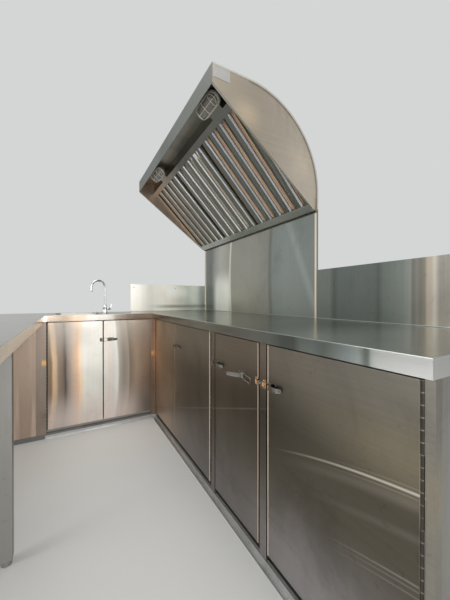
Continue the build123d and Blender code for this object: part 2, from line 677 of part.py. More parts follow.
SPLASH_END_X = XR - STAND_OFF - SHEET - SPLASH_END_LEN
with BuildPart() as splash_end:
    x1 = XR - STAND_OFF - SHEET
    slab(SPLASH_END_X, x1, YE - STAND_OFF - SHEET, YE - STAND_OFF, TOP_Z, TOP_Z + SPLASH_END_H)
    slab(SPLASH_END_X, x1, YE - STAND_OFF, YE, TOP_Z + SPLASH_END_H - SHEET, TOP_Z + SPLASH_END_H)
    slab(SPLASH_END_X, SPLASH_END_X + SHEET, YE - STAND_OFF, YE, TOP_Z, TOP_Z + SPLASH_END_H)
splash_end.part.label = "splash_end"
export_step(splash_end.part, "parts/splash_end.step")

with BuildPart() as tall_panel:
    slab(XR - STAND_OFF - SHEET, XR - STAND_OFF, HOOD_NEAR, YE, TOP_Z, HOOD_BACK_Z)
    slab(XR - STAND_OFF, XR, HOOD_NEAR, HOOD_NEAR + SHEET, TOP_Z, HOOD_BACK_Z)
    slab(XR - STAND_OFF, XR, YE - SHEET, YE, TOP_Z, HOOD_BACK_Z)
tall_panel.part.label = "tall_panel"
export_step(tall_panel.part, "parts/tall_panel.step")

with BuildPart() as panel_trim:
    x0 = XR - STAND_OFF - SHEET - 1.5
    slab(x0, x0 + 1.5, HOOD_NEAR, HOOD_NEAR + TRIM_W, TOP_Z, HOOD_BACK_Z)
    slab(x0, x0 + 1.5, YE - STAND_OFF - SHEET - TRIM_W, YE - STAND_OFF - SHEET, TOP_Z, HOOD_BACK_Z)
panel_trim.part.label = "panel_trim"
export_step(panel_trim.part, "parts/panel_trim.step")

# Hood shell: rolled sheet between two side panels, open on its slanted rim
ARC_X = XR - HOOD_ARC_R
ARC_Z = ROOF_Z - HOOD_ARC_R
diag = math.sqrt(0.5)
with BuildPart() as hood_shell:
    with BuildSketch(Plane.XZ.offset(-HOOD_NEAR)):
        with BuildLine():
            Polyline((XR, ARC_Z), (XR, HOOD_BACK_Z), (RIM_LOW_X, RIM_LOW_Z), (HOOD_X, RIM_HIGH_Z),
                     (HOOD_X, ROOF_Z), (ARC_X, ROOF_Z))
            ThreePointArc((ARC_X, ROOF_Z), (ARC_X + HOOD_ARC_R * diag, ARC_Z + HOOD_ARC_R * diag), (XR, ARC_Z))
        make_face()
    extrude(amount=-(YE - HOOD_NEAR))
    inner_r = HOOD_ARC_R - SHEET
    with BuildSketch(Plane.XZ.offset(-HOOD_NEAR - SHEET)):
        with BuildLine():
            Polyline((XR - SHEET, ARC_Z), (XR - SHEET, HOOD_BACK_Z - 60), (RIM_LOW_X - 60, RIM_LOW_Z - 60),
                     (HOOD_X + SHEET, RIM_HIGH_Z - 60), (HOOD_X + SHEET, ROOF_Z - SHEET), (ARC_X, ROOF_Z - SHEET))
            ThreePointArc((ARC_X, ROOF_Z - SHEET), (ARC_X + inner_r * diag, ARC_Z + inner_r * diag),
                          (XR - SHEET, ARC_Z))
        make_face()
    extrude(amount=-(YE - HOOD_NEAR - 2 * SHEET), mode=Mode.SUBTRACT)
    with BuildSketch(Plane.XY.offset(ROOF_Z - DUCT_COLLAR)):
        with Locations((DUCT_X, DUCT_Y)):
            Circle(DUCT_R + SHEET)
    extrude(amount=DUCT_COLLAR)
    with BuildSketch(Plane.XY.offset(ROOF_Z - DUCT_COLLAR - 1)):
        with Locations((DUCT_X, DUCT_Y)):
            Circle(DUCT_R)
    extrude(amount=DUCT_COLLAR + 2, mode=Mode.SUBTRACT)
hood_shell.part.label = "hood_shell"
export_step(hood_shell.part, "parts/hood_shell.step")

# Plane of the rim: x runs down the slope, y into the trailer, z up into the hood
slope = Vector(RIM_LOW_X - HOOD_X, 0, RIM_LOW_Z - RIM_HIGH_Z)
rim = Plane(origin=(HOOD_X, 0, RIM_HIGH_Z), x_dir=slope, z_dir=(-slope.Z, 0, slope.X))


def slope_slab(plane, s0, s1, y0, y1, h0, h1):
    """Box given in the directions of a sloping plane."""
    with Locations(plane.location * Location(((s0 + s1) / 2, (y0 + y1) / 2, (h0 + h1) / 2))):
        Box(s1 - s0, y1 - y0, h1 - h0)


def rim_slab(s0, s1, y0, y1, h0, h1):
    slope_slab(rim, s0, s1, y0, y1, h0, h1)


# Plane under the filters: steeper than the rim, deep under the rail and level with the drip channel at its end
bank_top = (rim.location * Location((RAIL_S + RAIL_W, 0, BANK_DEEP))).position
bank_end = (rim.location * Location((FILTER_END - BANK_PLAY, 0, SHEET))).position
bank_run = bank_end - bank_top
BANK_LEN = bank_run.length
bank = Plane(origin=bank_top, x_dir=bank_run, z_dir=(-bank_run.Z, 0, bank_run.X))

HY0 = HOOD_NEAR + SHEET
HY1 = YE - SHEET
with BuildPart() as hood_lips:
    for y0 in (HY0, HY1 - HOOD_LIP):
        rim_slab(RIM_LIP_S, FILTER_END - DRIP_LAP - 1, y0, y0 + HOOD_LIP, 0, SHEET)
    with BuildSketch(Plane.XZ.offset(-HOOD_NEAR)):
        with BuildLine():
            Polyline((XR, HOOD_BACK_Z + 20), (XR - SEAM_W, HOOD_BACK_Z + 20), (XR - SEAM_W, ARC_Z))
            ThreePointArc((XR - SEAM_W, ARC_Z),
                          (ARC_X + (HOOD_ARC_R - SEAM_W) * diag, ARC_Z + (HOOD_ARC_R - SEAM_W) * diag),
                          (ARC_X, ROOF_Z - SEAM_W))
            Polyline((ARC_X, ROOF_Z - SEAM_W), (HOOD_X, ROOF_Z - SEAM_W), (HOOD_X, ROOF_Z), (ARC_X, ROOF_Z))
            ThreePointArc((ARC_X, ROOF_Z), (ARC_X + HOOD_ARC_R * diag, ARC_Z + HOOD_ARC_R * diag), (XR, ARC_Z))
            Line((XR, ARC_Z), (XR, HOOD_BACK_Z + 20))
        make_face()
    extrude(amount=SEAM_T)
hood_lips.part.label = "hood_lips"
export_step(hood_lips.part, "parts/hood_lips.step")

# Upright sheet between the lamps' recess and the filters, its sloping rail, the lamps' brackets and the bay's margins
rail_edge = (rim.location * Location((RAIL_S, 0, BANK_DEEP))).position
with BuildPart() as hood_rails:
    slab(rail_edge.X, rail_edge.X + SHEET, HY0, HY1, rail_edge.Z - SHEET, ROOF_Z - SHEET)
    rim_slab(RAIL_S, RAIL_S + RAIL_W, HY0, HY1, BANK_DEEP - SHEET, BANK_DEEP)
    slope_slab(bank, 0, BANK_LEDGE, HY0, HY1, -SHEET, 0)
    for y in LAMP_Y:
        rim_slab(LAMP_S - LAMP_HALF_S, RAIL_S, y - BRACKET_HALF, y + BRACKET_HALF, LAMP_TOP, LAMP_TOP + SHEET)
    for y0 in (HY0, HY1 - BANK_MARGIN):
        slope_slab(bank, 0, BANK_LEN, y0, y0 + BANK_MARGIN, 0, SHEET)
hood_rails.part.label = "hood_rails"
export_step(hood_rails.part, "parts/hood_rails.step")

with BuildPart() as drip_channel:
    rim_slab(FILTER_END - DRIP_LAP, SLOPE_LEN + 20, HY0, HY1, 0, SHEET)
    rim_slab(FILTER_END + 2, FILTER_END + 2 + SHEET, HY0, HY1, 0, DRIP_H)
drip_channel.part.label = "drip_channel"
export_step(drip_channel.part, "parts/drip_channel.step")

# Baffle filters: a frame with two rows of interleaved channels, the front row open upwards and the back row down
fil_w = (HY1 - HY0 - 2 * BANK_MARGIN - (FILTERS + 1) * FILTER_GAP) / FILTERS
pitch = (fil_w - 2 * SHEET) / BAFFLES
half_face = pitch * BAFFLE_FACE / 2


def baffle_outline(centre, face, way):
    """Corners of a channel with flaring flanks; face is the height of its flat and way points to its open side."""
    tip = face + way * BAFFLE_LEG
    inner = face + way * BAFFLE_T
    a, b, t = half_face, half_face + BAFFLE_LEG, BAFFLE_T * math.sqrt(2)
    corners = [(-b, tip), (-a, face), (a, face), (b, tip), (b - t, tip), (a - t + BAFFLE_T, inner),
               (-a + t - BAFFLE_T, inner), (-b + t, tip)]
    return [(centre + u, h) for u, h in corners]


for f in range(FILTERS):
    y0 = HY0 + BANK_MARGIN + FILTER_GAP + f * (fil_w + FILTER_GAP)
    y1 = y0 + fil_w
    with BuildPart() as baffle_filter:
        with BuildSketch(Plane(origin=bank.origin, x_dir=(0, 1, 0), z_dir=bank.x_dir)):
            for b in range(BAFFLES):
                Polygon(*baffle_outline(y0 + SHEET + (b + 0.5) * pitch, 0, 1), align=None)
            for b in range(BAFFLES + 1):
                Polygon(*baffle_outline(y0 + SHEET + b * pitch, FILTER_T, -1), align=None)
            with Locations(((y0 + y1) / 2, FILTER_T / 2)):
                Rectangle(fil_w, FILTER_T, mode=Mode.INTERSECT)
            for y in (y0 + SHEET / 2, y1 - SHEET / 2):
                with Locations((y, FILTER_T / 2)):
                    Rectangle(SHEET, FILTER_T)
        extrude(amount=BANK_LEN)
        for s0 in (0, BANK_LEN - SHEET):
            slope_slab(bank, s0, s0 + SHEET, y0, y1, 0, FILTER_T)
    label = f"filter_{f + 1}"
    baffle_filter.part.label = label
    export_step(baffle_filter.part, f"parts/{label}.step")

# Caged oval bulkhead lamps in the recess behind the front fascia


def lamp_oval(y, h, inset):
    """Oval outline of a lamp, long across the hood, at height h over the rim plane."""
    with BuildSketch(Plane(rim.location * Location((LAMP_S, y, h)))) as oval:
        SlotOverall(2 * (LAMP_HALF_Y - inset), 2 * (LAMP_HALF_S - inset), rotation=90)
    return oval.sketch


LAMP_FACE = LAMP_TOP - LAMP_BASE_H
with BuildPart() as lamp_bases:
    for y in LAMP_Y:
        extrude(lamp_oval(y, LAMP_FACE, 0), amount=LAMP_BASE_H)
lamp_bases.part.label = "lamp_bases"
export_step(lamp_bases.part, "parts/lamp_bases.step")

with BuildPart() as lamp_glasses:
    for y in LAMP_Y:
        extrude(lamp_oval(y, LAMP_FACE - GLASS_H, GLASS_IN), amount=GLASS_H)
    crowns = lamp_glasses.faces().filter_by(lambda f: f.normal_at().dot(rim.z_dir) < -0.99)
    chamfer(crowns.edges(), GLASS_CHAMFER)
lamp_glasses.part.label = "lamp_glasses"
export_step(lamp_glasses.part, "parts/lamp_glasses.step")


def cage_hoop(centre, cross, half, drop):
    """Rounded bar standing on the lamp's base; cross is its flat direction."""
    plane = Plane(origin=centre, x_dir=cross, z_dir=Vector(*cross).cross(rim.z_dir))
    with BuildSketch(plane) as hoop:
        RectangleRounded(2 * half, 2 * drop, CAGE_R)
        RectangleRounded(2 * (half - CAGE_BAR), 2 * (drop - CAGE_BAR), CAGE_R - CAGE_BAR, mode=Mode.SUBTRACT)
        with Locations((0, drop)):
            Rectangle(2 * half + 2, 2 * drop, mode=Mode.SUBTRACT)
    extrude(hoop.sketch, amount=CAGE_BAR / 2, both=True)


CAGE_IN = GLASS_IN - CAGE_OUT
CAGE_S = LAMP_HALF_S - CAGE_IN
CAGE_Y = LAMP_HALF_Y - CAGE_IN
hoop_half = math.sqrt(CAGE_S ** 2 - (HOOP_Y - (CAGE_Y - CAGE_S)) ** 2) - CAGE_SET
with BuildPart() as lamp_cages:
    for y in LAMP_Y:
        extrude(lamp_oval(y, LAMP_FACE, CAGE_IN) - lamp_oval(y, LAMP_FACE, CAGE_IN + CAGE_BAR), amount=-CAGE_BAR)
        o = (rim.location * Location((LAMP_S, y, LAMP_FACE))).position
        for dy, half in ((-HOOP_Y, hoop_half), (0, CAGE_S - CAGE_SET), (HOOP_Y, hoop_half)):
            cage_hoop(o + Vector(0, dy, 0), rim.x_dir, half, GLASS_H + CAGE_OUT)
        cage_hoop(o, Vector(0, 1, 0), CAGE_Y - CAGE_SET, GLASS_H + CAGE_OUT + CAGE_SET)
        h = LAMP_FACE - CAGE_RING
        for s0 in (LAMP_S - hoop_half - CAGE_SET, LAMP_S + hoop_half + CAGE_SET - CAGE_BAR):
            rim_slab(s0, s0 + CAGE_BAR, y - HOOP_Y, y + HOOP_Y, h, h + CAGE_BAR)
lamp_cages.part.label = "lamp_cages"
export_step(lamp_cages.part, "parts/lamp_cages.step")

# Blank rating plate on the near side panel
with BuildPart() as rating_plate:
    slab(HOOD_X + 3, HOOD_X + 3 + PLATE_W, HOOD_NEAR - SEAM_T, HOOD_NEAR,
         ROOF_Z - SEAM_W - 1 - PLATE_H, ROOF_Z - SEAM_W - 1)
rating_plate.part.label = "rating_plate"
export_step(rating_plate.part, "parts/rating_plate.step")
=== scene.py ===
import math

import bmesh
import bpy
from bpy.props import FloatProperty, FloatVectorProperty, IntProperty, PointerProperty
from mathutils import Matrix, Vector


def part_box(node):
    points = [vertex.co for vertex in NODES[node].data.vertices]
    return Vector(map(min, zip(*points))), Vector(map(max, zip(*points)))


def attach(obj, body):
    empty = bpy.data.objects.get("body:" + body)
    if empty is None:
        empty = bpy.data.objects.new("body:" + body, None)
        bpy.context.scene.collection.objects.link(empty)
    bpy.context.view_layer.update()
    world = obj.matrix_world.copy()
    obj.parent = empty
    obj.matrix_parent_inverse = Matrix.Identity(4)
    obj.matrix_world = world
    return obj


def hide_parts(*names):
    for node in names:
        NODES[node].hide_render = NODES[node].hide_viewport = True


bl_info = {
    "name": "Food trailer kitchen unit",
    "version": (1, 0, 0),
    "blender": (4, 5, 0),
    "location": "3D View > Sidebar > Kitchen",
    "description": "Dresses the packed kitchen unit of a food trailer in steel, lamps and fittings",
    "category": "Object",
}

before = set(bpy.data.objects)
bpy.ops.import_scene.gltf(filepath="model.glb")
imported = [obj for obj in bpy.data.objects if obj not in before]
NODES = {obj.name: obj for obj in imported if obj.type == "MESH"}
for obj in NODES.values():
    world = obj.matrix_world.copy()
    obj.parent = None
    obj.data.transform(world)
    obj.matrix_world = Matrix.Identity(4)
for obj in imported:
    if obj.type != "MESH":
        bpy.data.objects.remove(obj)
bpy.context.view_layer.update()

# Heights and faces of the unit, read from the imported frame
TOP_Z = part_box("splash_right")[0].z
FACE_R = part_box("right_posts")[0].x
FACE_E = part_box("end_posts")[0].y
HOOD_LOW, HOOD_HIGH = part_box("hood_shell")
# Where the worktop's front edge turns from the right run to the end run, and from that to the left run
TURN_Y = 0.785
TURN_X = -0.43
# Height of the lamps' reflection in the posts
GLINT_Z = 0.548
# Middle and radius of the hood's rolled back, as X and Z
ARC_MIDDLE = (0.5375, 1.658)
ARC_RADIUS = HOOD_HIGH.x - ARC_MIDDLE[0]

# Camera of the photograph, in metres and degrees
CAMERA_PLACE = (-0.3027, -1.5525, 1.000)
CAMERA_RIGHT = 29.37
CAMERA_DOWN = 0.206
CAMERA_LENS = 16.73
CAMERA_SHIFT_Y = 0.0011


def maths(operation, flipped=False):
    """Method that adds one Math node; the flipped one serves the reflected form."""
    def method(self, *others):
        values = (*others, self) if flipped else (self, *others)
        return self.sheet.node("ShaderNodeMath", {"operation": operation}, dict(enumerate(values)))
    return method


class Wire:
    """A node socket that Python's operators work on."""

    def __init__(self, sheet, socket):
        self.sheet = sheet
        self.socket = socket

    __add__ = maths("ADD")
    __radd__ = maths("ADD", True)
    __sub__ = maths("SUBTRACT")
    __rsub__ = maths("SUBTRACT", True)
    __mul__ = maths("MULTIPLY")
    __rmul__ = maths("MULTIPLY", True)
    __truediv__ = maths("DIVIDE")
    __pow__ = maths("POWER")
    __abs__ = maths("ABSOLUTE")
    most = maths("MAXIMUM")
    fraction = maths("FRACT")

    def __neg__(self):
        return 0.0 - self

    def between(self, low, high):
        """0 below low, 1 above high, and a soft step on the way."""
        return self.sheet.node("ShaderNodeMapRange", {"interpolation_type": "SMOOTHSTEP"},
                               {"Value": self, "From Min": low, "From Max": high})

    def rise(self, width):
        """0 up to 0, 1 from width on, and a soft step on the way."""
        return self.between(0.0, width)


class Sheet:
    """A node tree that is written as expressions."""

    def __init__(self, tree):
        self.tree = tree

    def node(self, kind, settings, values, output=0):
        made = self.tree.nodes.new(kind)
        for key, value in settings.items():
            if key == "stops":
                self.fill_ramp(made.color_ramp, value)
            else:
                setattr(made, key, value)
        for key, value in values.items():
            self.feed(made.inputs[key], value)
        return Wire(self, made.outputs[output])

    def feed(self, socket, value):
        if isinstance(value, Wire):
            self.tree.links.new(value.socket, socket)
        elif hasattr(value, "__len__") and socket.type == "RGBA" and len(value) == 3:
            socket.default_value = (*value, 1.0)
        else:
            socket.default_value = value

    @staticmethod
    def fill_ramp(ramp, stops):
        while len(ramp.elements) < len(stops):
            ramp.elements.new(1.0)
        for element, (place, colour) in zip(ramp.elements, stops):
            element.position = place
            element.color = (*colour, 1.0)

    def mix(self, share, first, second):
        """A colour on the way from first to second."""
        return self.node("ShaderNodeMix", {"data_type": "RGBA"}, {0: share, 6: first, 7: second}, 2)

    def dimmed(self, colour, factor):
        """A colour times one number."""
        return self.node("ShaderNodeMix", {"data_type": "RGBA", "blend_type": "MULTIPLY"},
                         {0: 1.0, 6: colour, 7: self.grey(factor)}, 2)

    def grey(self, value):
        return self.node("ShaderNodeCombineColor", {}, {0: value, 1: value, 2: value})


# Tint of steel at grazing angles
EDGE_TINT = (0.75, 0.74, 0.72, 1.0)


class Finish(Sheet):
    """One procedural material around a Principled shader."""

    def __init__(self, name, **constants):
        self.material = bpy.data.materials.new(name)
        self.material.use_nodes = True
        super().__init__(self.material.node_tree)
        self.shader = self.tree.nodes["Principled BSDF"]
        for key, value in constants.items():
            self.set(key.replace("_", " ").title().replace("Ior", "IOR"), value)
        self.point = self.node("ShaderNodeTexCoord", {}, {}, "Object")

    def set(self, socket, value):
        self.feed(self.shader.inputs[socket], value)

    def place(self):
        """X, Y and Z of the surface in the unit's own frame, in metres."""
        split = self.node("ShaderNodeSeparateXYZ", {}, {"Vector": self.point})
        return [Wire(self, output) for output in split.socket.node.outputs]

    def noise(self, scale, detail=3.0, rough=0.55, distortion=0.0):
        """Noise that is squeezed by scale along X, Y and Z."""
        squeezed = self.node("ShaderNodeVectorMath", {"operation": "MULTIPLY"}, {0: self.point, 1: scale})
        return self.node("ShaderNodeTexNoise", {"noise_dimensions": "3D"},
                         {"Vector": squeezed, "Scale": 1.0, "Detail": detail, "Roughness": rough,
                          "Distortion": distortion})

    def bumped(self, layers):
        """Height layers as (wire, distance in metres, strength), coarsest first."""
        normal = None
        for height, distance, strength in layers:
            values = {"Height": height, "Distance": distance, "Strength": strength}
            if normal is not None:
                values["Normal"] = normal
            normal = self.node("ShaderNodeBump", {}, values)
        self.set("Normal", normal)


def brushed_steel(name, colour, grain, shade=None, roughness=0.30, smudges=0.35, ripple=0.032):
    """Stainless sheet: grain is 1 across the brushing, 0 along it; shade gives layers as (share, colour)."""
    finish = Finish(name, metallic=1.0, specular_tint=EDGE_TINT)
    x, y, z = finish.place()
    fine = finish.noise([900 * g + 5 for g in grain], 2.0)
    coarse = finish.noise([170 * g + 1.2 for g in grain], 3.0)
    wiped = finish.noise((2.6, 2.6, 2.1), 6.0, 0.62, 0.8)
    spots = finish.noise((38, 38, 38), 2.0, 0.5)
    buckle = finish.noise((1.7, 1.7, 1.1), 1.0)
    base = colour
    for share, tint in shade(finish, x, y, z) if shade else ():
        base = tint if base is None else finish.mix(share, base, tint)
    streaks = 0.82 + 0.20 * coarse + 0.16 * fine
    cloudy = 1.0 - smudges * wiped.between(0.46, 0.70)
    dots = 1.0 - 0.10 * spots.between(0.66, 0.74)
    finish.set("Base Color", finish.dimmed(base, streaks * cloudy * dots))
    finish.set("Roughness", (roughness - 0.06) + 0.12 * wiped + 0.08 * coarse)
    finish.bumped([(buckle, ripple, 0.5), (coarse, 0.0004, 0.10), (fine, 0.0002, 0.10)])
    return finish.material


# Painted reflection bands across the sheets under the sink: X in metres, then red, green and blue
SINK_REFLECTIONS = (
    (-0.437, 0.3, 0.22, 0.16), (-0.424, 0.8, 0.54, 0.33), (-0.403, 0.66, 0.5, 0.34),
    (-0.39, 0.36, 0.27, 0.21), (-0.356, 0.26, 0.2, 0.16), (-0.336, 0.12, 0.1, 0.09),
    (-0.316, 0.33, 0.28, 0.24), (-0.27, 0.64, 0.48, 0.38), (-0.246, 0.8, 0.53, 0.36),
    (-0.228, 0.98, 0.7, 0.45), (-0.206, 0.86, 0.83, 0.76), (-0.08, 0.84, 0.82, 0.75),
    (-0.05, 0.88, 0.77, 0.68), (-0.012, 0.86, 0.84, 0.79), (0.012, 0.98, 0.97, 0.92),
    (0.026, 0.56, 0.5, 0.43), (0.06, 0.44, 0.39, 0.33), (0.1, 0.6, 0.5, 0.41), (0.108, 0.38, 0.31, 0.24),
    (0.16, 0.62, 0.47, 0.36), (0.235, 0.42, 0.32, 0.25), (0.305, 0.2, 0.16, 0.13),
)


def banded(finish, value, bands):
    """Colour that runs through a list of bands as a value grows."""
    low, high = bands[0][0], bands[-1][0]
    stops = [((place - low) / (high - low), colour) for place, *colour in bands]
    return finish.node("ShaderNodeValToRGB", {"stops": stops}, {"Fac": (value - low) / (high - low)})


def glow(away, half):
    """1 where away is 0, falling softly to 0 at half."""
    return (1.0 - abs(away) / half).rise(1.0)


def sink_front_shade(finish, x, y, z):
    """Painted reflections: tall bowed bands, warm at their edges, as the sheet under the sink shows, paler
    low down, dimmed at the top and dark at the lower right.
    """
    height = (z - 0.45) / 0.38
    bulge = (1.0 - height * height) * abs(x + 0.21).between(0.02, 0.20)
    sway = finish.noise((2.0, 2.0, 3.4), 1.0)
    yield 1.0, banded(finish, x - 0.030 * bulge - 0.026 * (sway - 0.5), SINK_REFLECTIONS)
    # Painted: a pale reflection low down, painted shade dimming the top, and a painted dark patch at the
    # lower right
    yield (0.36 - z).rise(0.26) * 0.75, (0.80, 0.69, 0.64)
    yield (z - 0.52).rise(0.26) * 0.55, (0.42, 0.39, 0.35)
    yield (x - 0.10).rise(0.18) * (0.45 - z).rise(0.35) * 0.7, (0.10, 0.085, 0.07)


# Painted highlights and reflections as curved streaks in the near door: height at the hinge, fall and bend
# along the door, half width, length, strength and colour
DOOR_HIGHLIGHT_ARCS = (
    (0.594, 0.155, 0.21, 0.0055, 0.5, 1.0, (0.92, 0.87, 0.74)),
    (0.605, 0.16, 0.21, 0.004, 0.28, 0.45, (0.5, 0.44, 0.35)),
    (0.584, 0.165, 0.21, 0.004, 0.34, 0.45, (0.52, 0.47, 0.4)),
    (0.57, 0.175, 0.21, 0.022, 0.5, 0.4, (0.4, 0.36, 0.31)),
    (0.5, 0.23, 0.12, 0.016, 0.4, 0.25, (0.36, 0.33, 0.3)),
    (0.403, 0.25, 0.12, 0.004, 0.3, 0.55, (0.52, 0.48, 0.45)),
    (0.392, 0.255, 0.12, 0.0035, 0.26, 0.4, (0.46, 0.42, 0.39)),
    (0.378, 0.26, 0.12, 0.004, 0.3, 0.4, (0.44, 0.4, 0.38)),
    (0.245, 0.32, 0.1, 0.005, 0.22, 0.7, (0.55, 0.51, 0.48)),
    (0.228, 0.32, 0.1, 0.005, 0.22, 0.6, (0.55, 0.51, 0.48)),
)
# Line where the far pair of doors meets
MEET_Y = 0.2735
# Folded edges of the right run that catch the light: Y, half width, strength and colour
FRONT_EDGES = (
    (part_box("door_3")[0].y + 0.0020, 0.0036, 0.80, (0.95, 0.72, 0.54)),
    (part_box("door_4")[1].y - 0.0030, 0.0060, 1.00, (1.00, 0.84, 0.69)),
    (MEET_Y, 0.0080, 0.45, (0.55, 0.48, 0.41)),
    (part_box("door_3")[1].y - 0.0012, 0.0024, 0.30, (0.55, 0.48, 0.40)),
    (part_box("door_2")[0].y + 0.0140, 0.0120, 1.00, (1.00, 0.80, 0.64)),
    (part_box("door_2")[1].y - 0.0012, 0.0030, 0.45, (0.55, 0.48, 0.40)),
    (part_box("door_4")[0].y + 0.0080, 0.0018, 0.70, (0.85, 0.80, 0.72)),
)


def right_front_shade(finish, x, y, z):
    """Painted reflections and shade: dark middle, paler top and foot, warm towards the corner, with curved
    painted highlights in the near door.
    """
    # Painted reflections: a paler top, a paler foot and warm light towards the corner
    yield z.between(0.55, 0.80) * 0.85, (0.34, 0.31, 0.265)
    foot = finish.mix((-y).between(0.55, 0.95), (0.28, 0.26, 0.255), (0.44, 0.42, 0.43))
    yield (0.42 - z).rise(0.34) * 0.9, foot
    yield (y - 0.02).rise(0.70) * 0.58, (0.95, 0.70, 0.50)
    yield (y - 0.55).rise(0.19) * (z - 0.25).rise(0.3) * 0.8, (1.0, 0.66, 0.42)
    # Painted reflection as a pale cloud in the near door, and painted shade as a dark patch in the middle
    yield glow(y + 1.22, 0.34) * glow(z - 0.655, 0.13) * 0.75, (0.38, 0.33, 0.235)
    yield glow(y + 0.70, 0.30) * glow(z - 0.56, 0.26) * 0.75, (0.085, 0.072, 0.058)
    along = y + 1.255
    for height, fall, bend, half, length, strength, tint in DOOR_HIGHLIGHT_ARCS:
        line = glow(z - height + fall * along + bend * along * along, half)
        yield line * (length - along).rise(length) * strength, tint
    # Painted highlights along the folded edges; where they lie the sheet is made less metallic, so that they
    # read brighter
    dull = 0.0
    for place, half, strength, tint in FRONT_EDGES:
        line = glow(y - place, half) * strength
        yield line, tint
        dull = line + dull
    finish.set("Metallic", 1.0 - 0.7 * dull.rise(1.0))
    # Painted reflection on the near stile, warmer at mid height
    stile = finish.mix(glow(z - 0.60, 0.12), (0.37, 0.35, 0.31), (0.44, 0.40, 0.32))
    yield (-y).between(1.254, 1.262), stile
    sheen = glow(z - 0.444 + 0.332 * (y + 0.27), 0.006) * (y + 0.80).rise(0.2)
    yield sheen * 0.5, (0.34, 0.31, 0.27)


# Painted reflection bands along the right fascia: distance towards the near end in metres, then the colour
FASCIA_REFLECTIONS = (
    (-0.8, 0.52, 0.44, 0.35), (-0.45, 0.4, 0.37, 0.31), (0.0, 0.31, 0.3, 0.26), (0.19, 0.42, 0.41, 0.36),
    (0.27, 0.42, 0.44, 0.4), (0.43, 0.42, 0.47, 0.45), (0.6, 0.38, 0.44, 0.47), (0.69, 0.33, 0.41, 0.44),
    (0.77, 0.28, 0.34, 0.34), (0.84, 0.18, 0.2, 0.19), (0.89, 0.17, 0.19, 0.17), (0.92, 0.31, 0.34, 0.31),
    (0.97, 0.37, 0.41, 0.4), (1.01, 0.28, 0.3, 0.28), (1.05, 0.37, 0.4, 0.38), (1.087, 0.46, 0.52, 0.53),
    (1.113, 0.62, 0.67, 0.64), (1.122, 0.62, 0.67, 0.64), (1.13, 0.31, 0.35, 0.33),
    (1.143, 0.35, 0.38, 0.36), (1.152, 0.9, 0.96, 0.92), (1.18, 1.0, 1.0, 0.98), (1.28, 1.0, 1.0, 0.98),
)
# Painted reflection bands the same way along the end fascia, by X
END_FASCIA_REFLECTIONS = (
    (-0.45, 0.5, 0.41, 0.35), (-0.33, 0.25, 0.2, 0.15), (-0.27, 0.34, 0.26, 0.19), (-0.2, 0.35, 0.27, 0.21),
    (-0.17, 0.34, 0.31, 0.28), (0.0, 0.34, 0.32, 0.29), (0.03, 0.22, 0.19, 0.16), (0.2, 0.26, 0.2, 0.16),
    (0.32, 0.34, 0.26, 0.19),
)


def worktop_shade(finish, x, y, z):
    """Painted reflections: top grey, darker towards the wall on the far right run, paler on the left run,
    with a painted sheen near the near end; fascia in bands that change along each run.
    """
    yield x.between(0.55, 0.95) * (y + 0.45).rise(0.15) * 0.4, (0.16, 0.165, 0.15)
    yield (-x - 0.2).rise(0.3), (0.60, 0.60, 0.58)
    # Painted sheen on the top near the near end
    near = (-y - 0.66).rise(0.36) * (1.5 + y).rise(0.45)
    yield near * (z - TOP_Z + 0.0006).rise(0.0004), (0.84, 0.87, 0.84)
    front = banded(finish, -y, FASCIA_REFLECTIONS)
    front = finish.mix((y - TURN_Y).rise(0.01), front, banded(finish, x, END_FASCIA_REFLECTIONS))
    # Painted reflection on the left fascia: pale at the near end, warm tan towards the corner
    left = finish.mix((y - 0.1).rise(0.5), (1.0, 0.96, 0.90), (0.98, 0.80, 0.66))
    front = finish.mix((TURN_X - x).rise(0.012), front, left)
    yield (TOP_Z - 0.0015 - z).rise(0.0008), front


# Painted reflection bands along the tall panel and the low splashback beside it, by the distance towards the
# near end
PANEL_REFLECTIONS = (
    (-1.24, 0.26, 0.27, 0.25), (-1.12, 0.24, 0.26, 0.24), (-1.02, 0.46, 0.46, 0.42),
    (-0.92, 0.56, 0.56, 0.5), (-0.78, 0.5, 0.49, 0.43), (-0.72, 0.4, 0.39, 0.34), (-0.4, 0.4, 0.395, 0.345),
    (-0.16, 0.34, 0.34, 0.3), (-0.13, 0.22, 0.23, 0.205), (-0.1, 0.3, 0.33, 0.305),
    (0.05, 0.33, 0.36, 0.335), (0.33, 0.29, 0.315, 0.29),
)
SPLASH_REFLECTIONS = (
    (0.33, 0.235, 0.25, 0.23), (0.43, 0.22, 0.245, 0.22), (0.46, 0.14, 0.155, 0.14),
    (0.49, 0.18, 0.205, 0.19), (0.7, 0.185, 0.205, 0.19), (0.725, 0.15, 0.165, 0.15),
    (0.75, 0.205, 0.235, 0.21), (0.84, 0.26, 0.285, 0.255), (0.87, 0.33, 0.345, 0.31),
    (0.882, 0.22, 0.215, 0.19), (0.9, 0.29, 0.28, 0.245), (0.91, 0.24, 0.225, 0.195),
    (0.93, 0.3, 0.275, 0.23), (0.937, 0.5, 0.43, 0.345), (0.955, 0.52, 0.455, 0.37),
    (0.965, 0.58, 0.54, 0.47), (0.985, 0.31, 0.285, 0.25), (1.28, 0.27, 0.25, 0.22),
)


def foot_line(z):
    """Share and colour of the pale line where a splashback meets the worktop."""
    return (TOP_Z + 0.0045 - z).rise(0.001), (0.58, 0.62, 0.58)


